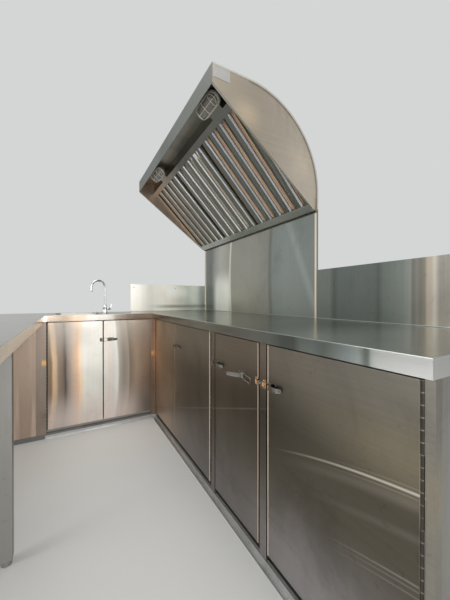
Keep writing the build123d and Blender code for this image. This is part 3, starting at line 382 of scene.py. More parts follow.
def tall_panel_shade(finish, x, y, z):
    """Painted reflections: upright bands, warm towards the end wall, with a bright patch low down and a
    streak beside it.
    """
    height = (z - 1.2) / 0.35
    bow = 0.02 * height * height
    yield 1.0, banded(finish, -y - bow, PANEL_REFLECTIONS)
    patch = (1.7 * glow(y - 0.88, 0.24)).rise(1.0) * (1.32 - z).rise(0.22)
    patch = patch * (y - 0.70).rise(0.03)
    # The painted bright patch is made less metallic, so that it reads brighter
    finish.set("Metallic", 1.0 - 0.45 * patch)
    yield patch, (0.98, 0.97, 0.90)
    yield glow(y - 0.730 + 1.4 * bow, 0.028) * 0.85, (0.92, 0.88, 0.76)
    yield glow(y + 0.11 - 0.42 * (z - 1.45), 0.05) * 0.25, (0.60, 0.66, 0.62)
    yield foot_line(z)


def end_splash_shade(finish, x, y, z):
    """Painted reflections: almost white at its left half, green-grey at the right, a painted highlight near
    the middle and a dark line low down.
    """
    yield (x - 0.62).rise(0.22), (0.52, 0.56, 0.52)
    yield (0.52 - x).rise(0.12) * 0.35, (0.44, 0.43, 0.40)
    yield glow(x - 0.68, 0.16) * glow(z - 1.08, 0.10), (1.0, 1.0, 0.98)
    yield glow(z - 0.93, 0.03) * (x - 0.35).rise(0.3) * 0.7, (0.22, 0.23, 0.21)


def low_splash_shade(finish, x, y, z):
    """Splashback of the right run: upright bands of painted reflection, warm at the near end."""
    yield 1.0, banded(finish, -y, SPLASH_REFLECTIONS)
    yield foot_line(z)


def blind_shade(finish, x, y, z):
    """Soft upright bands of brown and tan."""
    yield finish.noise((16.0, 2.0, 0.9), 2.0).between(0.42, 0.60), (0.66, 0.52, 0.43)


def post_shade(finish, x, y, z):
    """Posts of the end run: brown with an amber glint at the height of the lamps' reflection."""
    yield glow(z - GLINT_Z, 0.032) * (x + 0.468).rise(0.002) * 0.9, (1.0, 0.58, 0.22)


def hood_shade(finish, x, y, z):
    """Painted reflections and light: near side panel warm and pale with a brown edge along its arc, front
    fascia grey.
    """
    # Painted light: the front fascia is made lighter towards the near end
    yield (-y).between(-0.6, 0.2), (0.29, 0.30, 0.28)
    # Painted light: the inside of the hood, which lies in shade, is made pale, warm at the far end
    inner = finish.mix((y - 0.9).rise(0.35), (0.50, 0.48, 0.42), (0.50, 0.40, 0.32))
    yield (x - HOOD_LOW.x).between(0.0012, 0.0018), inner
    # Painted reflections on the near side panel: warm and pale, with two bright patches
    panel = finish.mix((x - 0.55).rise(0.4), (0.43, 0.375, 0.305), (0.60, 0.535, 0.445))
    panel = finish.mix(glow(x - 0.52, 0.13) * glow(z - 1.98, 0.11) * 0.5, panel, (0.78, 0.62, 0.44))
    panel = finish.mix(glow(x - 0.93, 0.14) * glow(z - 1.80, 0.14) * 0.45, panel, (0.80, 0.66, 0.52))
    across, up = x - ARC_MIDDLE[0], z - ARC_MIDDLE[1]
    edge = (across * across + up * up) ** 0.5
    arc = edge.between(ARC_RADIUS - 0.030, ARC_RADIUS - 0.012) * across.between(-0.02, 0.02)
    panel = finish.mix(arc * 0.8, panel, (0.24, 0.19, 0.14))
    yield (HOOD_LOW.y + 0.004 - y).rise(0.002), panel


def rail_shade(finish, x, y, z):
    """Rail over the filters: grey at the near end, with a painted pale and warm reflection at the far end."""
    yield (y - 0.45).rise(0.8), (0.72, 0.62, 0.53)


# Filters under the hood: their plane falls from the rail to the drip channel
BANK_TOP = Vector((0.4925, 0, 2.0661))
BANK_DOWN = Vector((0.70243, 0, -0.71175))
BANK_OUT = Vector((-0.71175, 0, -0.70243))
BANK_LENGTH = 0.6869
# Marks down the channels and ribs along the lamp glasses
TICKS_PER_METRE = 83.0
RIBS_PER_METRE = 130
# Painted reflections along the back row and painted highlights along the lips, by Y
BACK_ROW_REFLECTIONS = (
    (-0.33, 1.0, 0.68, 0.47), (0.1, 1.0, 0.72, 0.53), (0.36, 0.9, 0.76, 0.63), (0.62, 0.46, 0.44, 0.4),
    (0.85, 0.34, 0.32, 0.29), (1.15, 0.32, 0.28, 0.24), (1.28, 0.6, 0.42, 0.28),
)
LIP_HIGHLIGHTS = (
    (-0.33, 0.62, 0.6, 0.62), (0.05, 0.52, 0.53, 0.58), (0.3, 0.8, 0.81, 0.83), (0.42, 1.0, 1.0, 1.0),
    (0.75, 1.0, 1.0, 0.97), (0.95, 0.7, 0.66, 0.6), (1.28, 0.52, 0.47, 0.42),
)


def baffle_steel(kind, metallic, ticked):
    """Steel of the filters with painted light: lips bright on their near flanks as painted highlights, faces
    dark as painted shade, back row peach as painted reflection.
    """
    finish = Finish("baffle_" + kind, metallic=metallic)
    y, z = finish.place()[1:]
    ticks = abs((z * TICKS_PER_METRE).fraction() - 0.5)
    film = finish.noise((9, 30, 9))
    if kind == "face":
        base = finish.mix(y.between(0.3, 0.9), (0.26, 0.275, 0.25), (0.36, 0.35, 0.31))
    else:
        base = banded(finish, y, LIP_HIGHLIGHTS if kind == "lip" else BACK_ROW_REFLECTIONS)
    marks = 1.0 - ticked * ticks.between(0.25, 0.42)
    finish.set("Base Color", finish.dimmed(base, marks * (0.92 + 0.14 * film)))
    finish.set("Roughness", 0.24 + 0.10 * film)
    finish.bumped([(film, 0.0004, 0.2)])
    return finish.material


def plain(name, colour, roughness, metallic=0.0, speckle=0.12):
    """Cast, painted or moulded surface with a slight grain and soft blotches."""
    finish = Finish(name, metallic=metallic)
    grain = finish.noise((220, 220, 220))
    blotch = finish.noise((14, 14, 14), 4.0)
    dull = 1.0 - speckle * grain - speckle * blotch.between(0.4, 0.7)
    finish.set("Base Color", finish.dimmed(colour, dull))
    finish.set("Roughness", roughness - 0.05 + 0.12 * blotch)
    finish.bumped([(grain, 0.0002, 0.3)])
    return finish.material


def lamp_glass():
    """Ribbed milky glass."""
    finish = Finish("lamp_glass", roughness=0.14, transmission_weight=0.35, ior=1.45)
    y = finish.place()[1]
    ribs = abs((y * RIBS_PER_METRE).fraction() - 0.5)
    film = finish.noise((30, 30, 30))
    finish.set("Base Color", finish.dimmed((0.50, 0.46, 0.40), 0.85 + 0.15 * film))
    finish.bumped([(ribs, 0.0012, 0.6)])
    return finish.material


UP = (1, 1, 0)
ACROSS_X = (0, 1, 1)
ACROSS_Y = (1, 0, 1)
# Brushed sheets: name, colour, way of the brushing, shade, roughness, strength of the smudges and ripple.
# Where the colour is None, the shade's first layer gives it.
# Dark right_fronts and pale end_splash, rim_lip and drip_steel are one stainless steel; their colours are
# painted shade and painted reflections
SHEETS = (
    ("right_fronts", (0.15, 0.132, 0.105), ACROSS_Y, right_front_shade, 0.32, 0.22),
    ("sink_fronts", None, UP, sink_front_shade, 0.28, 0.10),
    ("end_posts", (0.36, 0.29, 0.24), UP, post_shade),
    ("blind_front", (0.50, 0.38, 0.30), UP, blind_shade, 0.32, 0.15),
    ("worktop", (0.44, 0.465, 0.42), ACROSS_Y, worktop_shade, 0.17, 0.10, 0.004),
    ("tall_panel", None, UP, tall_panel_shade, 0.28, 0.14),
    ("right_splash", None, UP, low_splash_shade, 0.26, 0.18),
    ("end_splash", (0.92, 0.88, 0.80), UP, end_splash_shade, 0.28, 0.10),
    ("hood", (0.27, 0.29, 0.275), ACROSS_X, hood_shade, 0.36, 0.22),
    ("hood_inside", (0.27, 0.265, 0.245), ACROSS_Y, rail_shade, 0.30, 0.25),
    ("rim_lip", (0.72, 0.70, 0.62), ACROSS_X, None, 0.26, 0.10),
    ("drip_steel", (0.78, 0.80, 0.76), ACROSS_Y, None, 0.30, 0.15),
    ("kick", (0.22, 0.22, 0.215), ACROSS_X, None, 0.40, 0.35),
    ("inside", (0.40, 0.39, 0.37), UP, None, 0.40, 0.15),
    ("bright_edge", (0.66, 0.64, 0.58), UP, None, 0.24, 0.10),
    ("trim", (0.98, 0.84, 0.66), UP, None, 0.30, 0.10),
    ("hinge_steel", (0.10, 0.09, 0.075), UP, None, 0.34, 0.30),
)
# Cast, painted and moulded things: name, colour, roughness, metallic, speckle
CASTINGS = (
    ("aluminium", (0.62, 0.62, 0.61), 0.34, 1.0),
    ("latch_plate", (0.27, 0.255, 0.225), 0.15, 1.0),
    # latch_warm is the latches' steel with a painted warm reflection, for WARM_HOOKS
    ("latch_warm", (0.95, 0.60, 0.34), 0.18, 1.0),
    ("chrome", (0.15, 0.135, 0.115), 0.26, 0.5, 0.06),
    ("trap_plastic", (0.78, 0.78, 0.75), 0.45),
    ("lamp_body", (0.60, 0.60, 0.56), 0.42),
    ("label", (0.50, 0.49, 0.47), 0.42, 0.2),
    ("wire", (1.0, 0.97, 0.88), 0.35, 0.1, 0.06),
    ("hinge_gap", (0.38, 0.36, 0.33), 0.4, 1.0),
    ("sealant", (0.06, 0.06, 0.055), 0.6),
)
# Steel of the filters, painted lit or shaded by kind: kind, metallic, strength of the tick marks
BAFFLES = (("face", 1.0, 0.05), ("lip", 0.75, 0.14), ("back", 0.35, 0.14))
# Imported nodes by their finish
FINISH_NODES = {
    "aluminium": "floor_angle",
    "baffle_face": "filter_1 filter_2 filter_3",
    "blind_front": "blind_panel",
    "bright_edge": "sink_bowl",
    "chrome": "tap_body tap_lever spout_collar tap_spout",
    "drip_steel": "drip_channel",
    "end_posts": "end_posts",
    "end_splash": "splash_end",
    "hinge_gap": "hinges",
    "hood": "hood_shell",
    "hood_inside": "hood_rails",
    "inside": "right_cabinet end_cabinet left_frame",
    "kick": "plinth",
    "label": "rating_plate",
    "lamp_body": "lamp_bases",
    "lamp_glass": "lamp_glasses",
    "latch_plate": "latch_1_catch latch_2 latch_3 latch_4 latch_5 latch_5_catch catches lamp_cages",
    "right_fronts": "right_posts door_1 door_2 door_3 door_4",
    "right_splash": "splash_right",
    "rim_lip": "hood_lips",
    "sink_fronts": "fixed_front door_5",
    "tall_panel": "tall_panel",
    "trap_plastic": "sink_waste",
    "trim": "panel_trim",
    "worktop": "worktop",
}
MM = 0.001
# Angles from which an edge is drawn sharp, and from which it is rounded off
SHARP = math.radians(38)
ROUNDED_OFF = math.radians(50)


def rounded(half_a, half_b, radius, steps=6):
    """Corners of a rounded rectangle, all the way round."""
    points = []
    for quarter, (side_a, side_b) in enumerate(((1, 1), (-1, 1), (-1, -1), (1, -1))):
        for i in range(steps + 1):
            angle = math.pi / 2 * (quarter + i / steps)
            points.append((side_a * (half_a - radius) + radius * math.cos(angle),
                           side_b * (half_b - radius) + radius * math.sin(angle)))
    return points


def circle(radius, sides):
    """Points round a circle."""
    turns = [2 * math.pi * i / sides for i in range(sides)]
    return [(radius * math.cos(t), radius * math.sin(t)) for t in turns]


def bent(points, radius, steps=5):
    """A path whose corners are rounded off."""
    points = [Vector(point) for point in points]
    path = [points[0]]
    for before, corner, after in zip(points, points[1:], points[2:]):
        start = corner + (before - corner).normalized() * radius
        end = corner + (after - corner).normalized() * radius
        for i in range(steps + 1):
            share = i / steps
            path.append(start.lerp(corner, share).lerp(corner.lerp(end, share), share))
    return path + [points[-1]]


def eased(points, steps=4):
    """A smooth line through a few points of a side view."""
    ends = [points[0], *points, points[-1]]
    line = []
    for p0, p1, p2, p3 in zip(ends, ends[1:], ends[2:], ends[3:]):
        for i in range(steps):
            t = i / steps
            line.append(tuple(0.5 * (2 * b + (c - a) * t + (2 * a - 5 * b + 4 * c - d) * t * t
                                     + (3 * b - a - 3 * c + d) * t ** 3)
                              for a, b, c, d in zip(p0, p1, p2, p3)))
    return line + [tuple(points[-1])]


def with_ways(path):
    """Each point of a path in a plane, with the way that the path runs there."""
    for i, point in enumerate(path):
        before, after = path[max(i - 1, 0)], path[min(i + 1, len(path) - 1)]
        yield point, (Vector(after) - Vector(before)).normalized()


def place_on(run, along, up, way=1):
    """Millimetres beside a front: x along it, y out of its face and z up."""
    if run == "right":
        return placed((FACE_R, along, up), (0, way, 0), (-1, 0, 0), (0, 0, 1))
    return placed((along, FACE_E, up), (way, 0, 0), (0, -1, 0), (0, 0, 1))


def placed(origin, x_axis, y_axis, z_axis):
    """Frame in millimetres at a point of the unit."""
    turn = Matrix((x_axis, y_axis, z_axis)).transposed().to_4x4()
    return Matrix.Translation(Vector(origin)) @ turn @ Matrix.Scale(MM, 4)


class Shape:
    """A mesh put together from rings, bars, turned outlines and folded strips, in millimetres of a frame."""

    def __init__(self, place):
        self.mesh = bmesh.new()
        self.place = place

    def skin(self, rings, looped=False):
        """Faces from each ring of points to the next, closed by the first ring or by caps."""
        rows = [[self.mesh.verts.new(self.place @ Vector(point)) for point in ring] for ring in rings]
        following = rows[1:] + rows[:1] if looped else rows[1:]
        for row, after in zip(rows, following):
            for i in range(len(row)):
                j = (i + 1) % len(row)
                self.mesh.faces.new((row[i], row[j], after[j], after[i]))
        if not looped:
            self.mesh.faces.new(rows[0][::-1])
            self.mesh.faces.new(rows[-1])

    def piled(self, centre, layers):
        """Outlines one above another; layers are (outline, height)."""
        x, z = centre
        self.skin([[(x + a, height, z + b) for a, b in outline] for outline, height in layers])

    def stack(self, centre, halves, radius, steps):
        """Rounded rectangles one above another; steps are (inset, height)."""
        self.piled(centre, [(rounded(halves[0] - inset, halves[1] - inset, max(radius - inset, 0.2)), height)
                            for inset, height in steps])

    def plated(self, centre, halves, corner, thick, edge=0.5):
        """Flat plate with a broken edge."""
        self.stack(centre, halves, corner, ((0, 0), (0, thick - edge), (edge, thick)))

    def turned(self, centre, profile, sides=32):
        """Round piece about the height axis; the profile is (radius, height)."""
        self.piled(centre, [(circle(radius, sides), height) for radius, height in profile])

    def tube(self, path, radius, sides=8, looped=False):
        """Round bar along a path."""
        path = [Vector(point) for point in path]
        last = len(path) - 1
        rings, up = [], None
        for i, point in enumerate(path):
            before = path[i - 1] if i or looped else point
            after = path[(i + 1) % len(path)] if i < last or looped else point
            along = (after - before).normalized()
            up = along.orthogonal() if up is None else up - along * up.dot(along)
            up.normalize()
            side = along.cross(up)
            rings.append([point + a * up + b * side for a, b in circle(radius, sides)])
        self.skin(rings, looped)

    def swept(self, path, section):
        """Folded strip along a path in x and y; section(share) gives its outline as (z, depth)."""
        last = len(path) - 1
        self.skin([[(x + along.y * depth, y - along.x * depth, z) for z, depth in section(i / last)]
                   for i, ((x, y), along) in enumerate(with_ways(path))])

    def made(self, name, finish, body="unit", slot="steel_bright", replaced=(), bevel=0.0):
        """Turn the mesh into a piece that rides on a body.

        The finish is found by name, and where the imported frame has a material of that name, it is
        the frame's.
        """
        bmesh.ops.remove_doubles(self.mesh, verts=self.mesh.verts, dist=1e-6)
        bmesh.ops.recalc_face_normals(self.mesh, faces=self.mesh.faces)
        data = bpy.data.meshes.new(name)
        self.mesh.to_mesh(data)
        self.mesh.free()
        data.shade_smooth()
        data.set_sharp_from_angle(angle=SHARP)
        data.materials.append(bpy.data.materials[finish])
        piece = bpy.data.objects.new(name, data)
        bpy.context.scene.collection.objects.link(piece)
        if bevel:
            rounding = piece.modifiers.new("rounding", "BEVEL")
            rounding.width = bevel * MM
            rounding.segments = 2
            rounding.limit_method = "ANGLE"
            rounding.angle_limit = ROUNDED_OFF
        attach(piece, body)
        if replaced:
            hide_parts(*replaced)


def flat_strip(half, thick, narrow=1.0):
    """Section of a plain strip whose half width shrinks to narrow times itself."""
    def section(share):
        h = half * (1 + (narrow - 1) * share)
        return [(-h, 0), (h, 0), (h, thick), (-h, thick)]
    return section


def channel_strip(half, deep, thick):
    """Section of a strip with turned-in edges that fade towards its end."""
    def section(share):
        h = half * (1 - 0.25 * share)
        d = thick + (deep - thick) * min(1.0, 3.0 * (1 - share))
        return [(-h, 0), (h, 0), (h, d), (h - thick, d), (h - thick, thick), (-h + thick, thick),
                (-h + thick, d), (-h, d)]
    return section


# Latches: name, run, tip of the loop along the run in metres, way the loop points, lift of the hook, body
LATCHES = (
    ("latch_2", "right", 0.2705, 1, 9.5, "door_2"),
    ("latch_3", "right", -0.3135, 1, 14.5, "door_3"),
    ("latch_4", "right", -0.7215, 1, 14.5, "door_4"),
    ("latch_5", "end", -0.061, -1, 9.5, "unit"),
)
# Hooked plates: name, run, middle of the plate, way, body, nodes that it stands for
CATCHES = (
    ("latch_1_hook", "right", 0.2885, -1, "door_1", ("latch_1_catch",)),
    ("latch_5_hook", "end", -0.079, 1, "door_5", ("latch_5_catch",)),
    ("latch_3_hook", "right", -0.6765, 1, "door_3", ()),
    ("post_hook_far", "right", -0.3075, -1, "unit", ()),
    ("post_hook_near", "right", -0.7245, -1, "unit", ("catches",)),
)
# Hooks beside the open latch, which show a warm reflection
WARM_HOOKS = ("latch_3_hook", "post_hook_near")
OPEN_LATCH_Y = -0.582
BRACKET_Y = -0.7025
# Pivot pin of a latch to the tip of its closed loop, and the pin's height over the sheet, in millimetres
LOOP_REACH = 44
PIN = 9.5
# Loop of the open latch: reach, height of its tip over the sheet, and how far it has swung down
OPEN_LOOP = (54, 1.9, -14.0)
# Places of the rivets on a latch's plate and on a hook's plate
LATCH_RIVETS = ((-25, -9), (-25, 9), (13, -9.5), (13, 9.5))
HOOK_RIVETS = ((-4.5, -10), (-4.5, 10))
# Side views of a cheek beside the lever, of a plate's hook, of the post's bracket and of both levers
CHEEK = ((-7, 1), (-5, 9), (0, 12.2), (5, 9), (8, 1))
HOOK = ((0, 0.5), (0.2, 5.5), (-1.5, 7.5), (-5, 7.5), (-6.5, 5.5))
BRACKET = ((2, 0.5), (4, 6), (8, 10), (11.5, 10))
CLOSED_LEVER = ((7, 7), (0, 10.5), (-8, 15), (-20, 17.5), (-32, 17), (-44, 13.5), (-52, 9), (-56, 5))
OPEN_LEVER = ((8, 6), (0, 10), (-4, 14), (-14, 21), (-26, 28), (-38, 35), (-49, 42), (-57, 49))


class LatchSizes(bpy.types.PropertyGroup):
    """Draw latches of the fronts."""

    height: FloatProperty(name="Height", description="Height of every latch above the floor", default=0.688,
                          unit="LENGTH")
    wire: FloatProperty(name="Wire radius", description="Radius of a wire loop in millimetres", default=1.3)
    plate: FloatProperty(name="Plate thickness", description="Thickness of the plates in millimetres",
                         default=1.5)


class KITCHEN_OT_latches(bpy.types.Operator):
    """Build the draw latches with their levers, wire loops and hooked plates"""

    bl_idname = "kitchen.latches"
    bl_label = "Latches"

    def execute(self, context):
        sizes = context.scene.kitchen_latches
        plate = sizes.plate
        for name, run, tip, way, lift, body in LATCHES:
            shape = Shape(place_on(run, tip - way * LOOP_REACH * MM, sizes.height, way))
            self.base(shape, plate)
            shape.swept(eased(CLOSED_LEVER), channel_strip(9.5, 5.0, 1.4))
            self.loop(shape, sizes.wire, LOOP_REACH, lift)
            shape.made(name + "_draw", "latch_plate", body, replaced=(name,), bevel=0.35)
        for name, run, middle, way, body, nodes in CATCHES:
            shape = Shape(place_on(run, middle, sizes.height, way))
            shape.plated((0, 0), (9, 15), 3, plate)
            self.rivets(shape, HOOK_RIVETS, plate)
            shape.swept(eased(HOOK), flat_strip(8, 1.4, 0.8))
            finish = "latch_warm" if name in WARM_HOOKS else "latch_plate"
            shape.made(name, finish, body, replaced=nodes, bevel=0.3)
        self.open_latch(sizes)
        self.bracket(sizes)
        return {"FINISHED"}

    def base(self, shape, plate):
        """Plate with rivets, two cheeks and the pivot pin; the pin is at x 0."""
        shape.plated((-6, 0), (24, 14), 4, plate)
        self.rivets(shape, LATCH_RIVETS, plate)
        for z in (-11.9, 10.1):
            shape.skin([[(x, y, z + t) for x, y in CHEEK] for t in (0, 1.8)])
        shape.tube([(0, PIN, -13), (0, PIN, 13)], 1.9, 12)

    def rivets(self, shape, places, plate):
        dome = ((2.6, plate - 0.2), (2.5, plate + 0.5), (1.8, plate + 1.1), (0.6, plate + 1.4))
        for place in places:
            shape.turned(place, dome, 14)

    def loop(self, shape, wire, reach, lift, droop=0.0):
        """Wire loop from the pivot pin round the hook and back."""
        corners = [(0, PIN, -11), (reach, lift, droop - 12), (reach, lift, droop + 12), (0, PIN, 11)]
        shape.tube(bent(corners, 4.5), wire, 10)

    def open_latch(self, sizes):
        """Latch of the narrow panel that hangs open: lever swung out, loop resting on the sheet."""
        shape = Shape(place_on("right", OPEN_LATCH_Y, sizes.height, -1))
        self.base(shape, sizes.plate)
        shape.swept(eased(OPEN_LEVER), channel_strip(9.5, 4.0, 1.4))
        self.loop(shape, sizes.wire, *OPEN_LOOP)
        shape.made("latch_3_open", "latch_plate", "door_3", bevel=0.35)

    def bracket(self, sizes):
        """Small folded hook on the post beside the open latch."""
        shape = Shape(place_on("right", BRACKET_Y, sizes.height))
        shape.plated((0, 0), (7, 12), 2, sizes.plate, 0.4)
        shape.swept(eased(BRACKET), flat_strip(7, 1.4, 0.9))
        shape.made("post_bracket", "latch_plate", bevel=0.3)


# Rim of the hood: fascia's lower edge as X and Z, and the way down the slope
RIM_X = HOOD_LOW.x
RIM_Z = 2.0665
RIM_DOWN = Vector((0.8021, 0, -0.5972))
RIM_OUT = Vector((-0.5972, 0, -0.8021))
# Lamp ring as (inset, height), head of its screws as (radius, height) and ribbed dome as (inset, height)
RING = ((0, 0), (0, 9), (0.8, 11), (2.5, 12), (7, 12), (8.5, 13.5), (9.5, 12))
RING_SCREW = ((3.6, 11.5), (3.5, 13), (2.6, 14), (1.0, 14.3))
DOME = ((10, 11.5), (10.4, 17), (11.4, 22), (10.9, 24), (12.6, 28), (12.1, 30), (15.5, 34.5), (20, 37.8),
        (26, 39.4), (34, 40), (42, 40))
# Cage: height of its foot and of its crown, and places of its hoops along the lamp
CAGE_FOOT = 13
CAGE_CROWN = 44.5
HOOPS = (-72, 0, 72)


class LampSizes(bpy.types.PropertyGroup):
    """Caged bulkhead lamps in the hood, in millimetres."""

    half_length: FloatProperty(name="Half length", description="Half of the long axis", default=103.0)
    half_width: FloatProperty(name="Half width", description="Half of the short axis", default=43.0)
    down: FloatProperty(name="Down the slope", description="Middle of a lamp from the fascia's edge",
                        default=39.0)
    deep: FloatProperty(name="Depth", description="Back of a lamp behind the rim", default=106.0)
    wire: FloatProperty(name="Wire radius", description="Radius of the cage's wire", default=2.1)


class KITCHEN_OT_lamps(bpy.types.Operator):
    """Build both oval lamps: ring with screws, milky dome and wire cage"""

    bl_idname = "kitchen.lamps"
    bl_label = "Lamps"

    def execute(self, context):
        sizes = context.scene.kitchen_lamps
        low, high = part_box("lamp_bases")
        reach = sizes.half_length * MM
        near = ("near", low.y + reach, ("lamp_bases",), ("lamp_glasses",), ("lamp_cages",))
        far = ("far", high.y - reach, (), (), ())
        for side, y, bases, glasses, cages in (near, far):
            origin = Vector((RIM_X, y, RIM_Z)) + RIM_DOWN * sizes.down * MM - RIM_OUT * sizes.deep * MM
            place = placed(origin, (0, 1, 0), RIM_OUT, RIM_DOWN)
            halves = (sizes.half_length, sizes.half_width)
            ring = Shape(place)
            ring.stack((0, 0), halves, halves[1], RING)
            for x in (7 - halves[0], halves[0] - 7):
                ring.turned((x, 0), RING_SCREW, 16)
            ring.made("lamp_ring_" + side, "lamp_body", slot="lamp_grey", replaced=bases)
            dome = Shape(place)
            dome.stack((0, 0), halves, halves[1], DOME)
            dome.made("lamp_dome_" + side, "lamp_glass", slot="glass", replaced=glasses)
            cage = Shape(place)
            self.cage(cage, sizes)
            cage.made("lamp_cage_" + side, "wire", replaced=cages)
        return {"FINISHED"}

    def cage(self, shape, sizes):
        """Two oval rings, three hoops across them and a spine along the lamp."""
        long, wide = sizes.half_length - 6.0, sizes.half_width - 6.0
        for height, inset in ((14.0, 0.0), (30.0, 1.0)):
            ring = rounded(long - inset, wide - inset, wide - inset, 9)
            shape.tube([(a, height, b) for a, b in ring[:-1]], sizes.wire, looped=True)
        for x in HOOPS:
            half = math.sqrt(wide ** 2 - max(0.0, abs(x) - (long - wide)) ** 2)
            hoop = [(x, CAGE_FOOT, -half), (x, CAGE_CROWN, -half + 3), (x, CAGE_CROWN, half - 3),
                    (x, CAGE_FOOT, half)]
            shape.tube(bent(hoop, 15), sizes.wire)
        spine = [(-long, CAGE_FOOT, 0), (-long + 3, CAGE_CROWN, 0), (long - 3, CAGE_CROWN, 0),
                 (long, CAGE_FOOT, 0)]
        shape.tube(bent(spine, 15), sizes.wire)


class FilterSizes(bpy.types.PropertyGroup):
    """Baffle filters, in millimetres."""

    baffles: IntProperty(name="Baffles", description="Channels in each filter", default=5)
    face: FloatProperty(name="Face", description="Width of a channel's flat", default=36.0)
    flank: FloatProperty(name="Flank", description="How far the near flank spreads and rises", default=9.0)
    depth: FloatProperty(name="Depth", description="Front row's flats to the back row's", default=24.0)
    sheet: FloatProperty(name="Sheet", description="Thickness of the channels", default=1.2)
    stagger: FloatProperty(name="Stagger", description="Back row's shift from the middle of the gaps",
                           default=16.0)


# Frame of a filter, the room that it leaves at its sides, and the channels' distance from its ends
FRAME = 2
SIDE_ROOM = 0.3
END_ROOM = 2.5


class KITCHEN_OT_filters(bpy.types.Operator):
    """Build the baffle filters: front channels with rolled lips, back channels and frames"""

    bl_idname = "kitchen.filters"
    bl_label = "Baffle filters"

    def execute(self, context):
        sizes = context.scene.kitchen_filters
        for name in ("filter_1", "filter_2", "filter_3"):
            low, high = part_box(name)
            self.filter(sizes, name, low.y, high.y)
        return {"FINISHED"}

    def filter(self, sizes, name, near, far):
        place = placed(BANK_TOP + Vector((0, near, 0)), (0, 1, 0), BANK_OUT, BANK_DOWN)
        width = (far - near) / MM
        pitch = (width - 2 * FRAME) / sizes.baffles
        half = sizes.face / 2
        faces, lips, backs = Shape(place), Shape(place), Shape(place)
        for i in range(sizes.baffles):
            middle = FRAME + (i + 0.5) * pitch
            self.channel(faces, middle, half, sizes)
            self.lip(lips, middle - half, sizes)
        for i in range(sizes.baffles + 1):
            self.back(backs, FRAME + i * pitch + sizes.stagger, sizes, width)
        self.frame(faces, width, sizes.depth)
        faces.made(name + "_faces", "baffle_face", slot="steel_brushed", replaced=(name,))
        lips.made(name + "_lips", "baffle_lip")
        backs.made(name + "_back", "baffle_back", slot="steel_brushed")

    def strip(self, shape, line, thick):
        """Folded sheet whose cross line lies across the filter and which runs down the slope."""
        outer = [(x - way.y * thick, y + way.x * thick) for (x, y), way in with_ways(line)]
        outline = list(line) + outer[::-1]
        shape.skin([[(x, y, z) for x, y in outline] for z in (END_ROOM, BANK_LENGTH / MM - END_ROOM)])

    def channel(self, shape, middle, half, sizes):
        """Flat of the front row and its far flank with a turned edge."""
        edge = middle + half
        line = [(middle - half, -0.4), (edge - 2, -0.4), (edge, -1.2), (edge + 9, -10.5), (edge + 9.5, -13.5)]
        self.strip(shape, line, sizes.sheet)

    def lip(self, shape, edge, sizes):
        """Near flank of the front row, bowed a little, with a rolled rim."""
        f = sizes.flank
        line = eased([(edge - f - 1.5, -f + 3), (edge - f - 0.5, -f + 0.4), (edge - 0.62 * f, -0.52 * f),
                      (edge - 0.3 * f, -0.20 * f), (edge, -0.3)], 3)
        self.strip(shape, line, sizes.sheet)

    def back(self, shape, middle, sizes, width):
        """Channel of the back row, open towards the room; it is cut off at the frame."""
        d, half = sizes.depth, 0.24 * sizes.face
        line = [(middle - half - 3, -d + 5), (middle - half, -d + 1.2), (middle + half, -d + 1.2),
                (middle + half + 3, -d + 5)]
        line = [(min(max(x, FRAME + 0.2), width - FRAME - 0.2), y) for x, y in line]
        self.strip(shape, line, sizes.sheet)

    def frame(self, shape, width, deep):
        """U rails round the filter."""
        length = BANK_LENGTH / MM
        for x in (SIDE_ROOM, width - 1.5 - SIDE_ROOM):
            rail = ((x, -0.2), (x + 1.5, -0.2), (x + 1.5, -deep - 1), (x, -deep - 1))
            shape.skin([[(a, b, z) for a, b in rail] for z in (0.2, length - 0.2)])
        for z in (SIDE_ROOM, length - 1.7 - SIDE_ROOM):
            rail = ((-0.2, z), (-0.2, z + 1.7), (-deep - 1, z + 1.7), (-deep - 1, z))
            shape.skin([[(x, a, b) for a, b in rail] for x in (SIDE_ROOM, width - SIDE_ROOM)])


class TapSizes(bpy.types.PropertyGroup):
    """Mixer tap behind the sink, in millimetres above the worktop."""

    neck: FloatProperty(name="Neck radius", description="Radius of the swan neck", default=8.6)
    top: FloatProperty(name="Top", description="Highest line of the neck", default=280.0)
    reach: FloatProperty(name="Reach", description="Column to spout", default=118.0)
    turn: FloatProperty(name="Turn", description="Way the spout points", default=math.radians(200),
                        subtype="ANGLE")


# Middle of the tap as X and Y, and in millimetres above the worktop its collar and its lever
TAP_AT = (-0.018, 1.110)
COLLAR = 62.0
LEVER = 36
# Outlines as (radius, height): column, collar over its foot, lever's hub and nozzle over its mouth
COLUMN = ((24.8, 0), (24.8, 3.5), (23, 5.6), (19.0, 6.4), (18.2, 9), (18.0, 40), (18.8, 46), (19.0, 56),
          (17.8, 60.4), (11, 61))
RING_NUT = ((10.5, -0.6), (13.8, 0), (13.8, 4), (12.4, 7.4), (9.5, 8))
HUB = ((11.8, 17), (11.8, 40), (10.6, 43.4), (7, 44.8), (2, 45))
NOZZLE = ((6.5, 3), (7.5, 0), (10.4, 0), (10.9, 1.2), (10.9, 14), (10.2, 17), (8.4, 18))
# Side view of the lever, heights over the collar where the neck starts, and its straight end and mouth
# below the bend
LEVER_LINE = ((40, 36), (44, 48), (47.5, 62), (50, 76))
NECK_START = (7, 20)
STRAIGHT_END = 20
MOUTH = 37


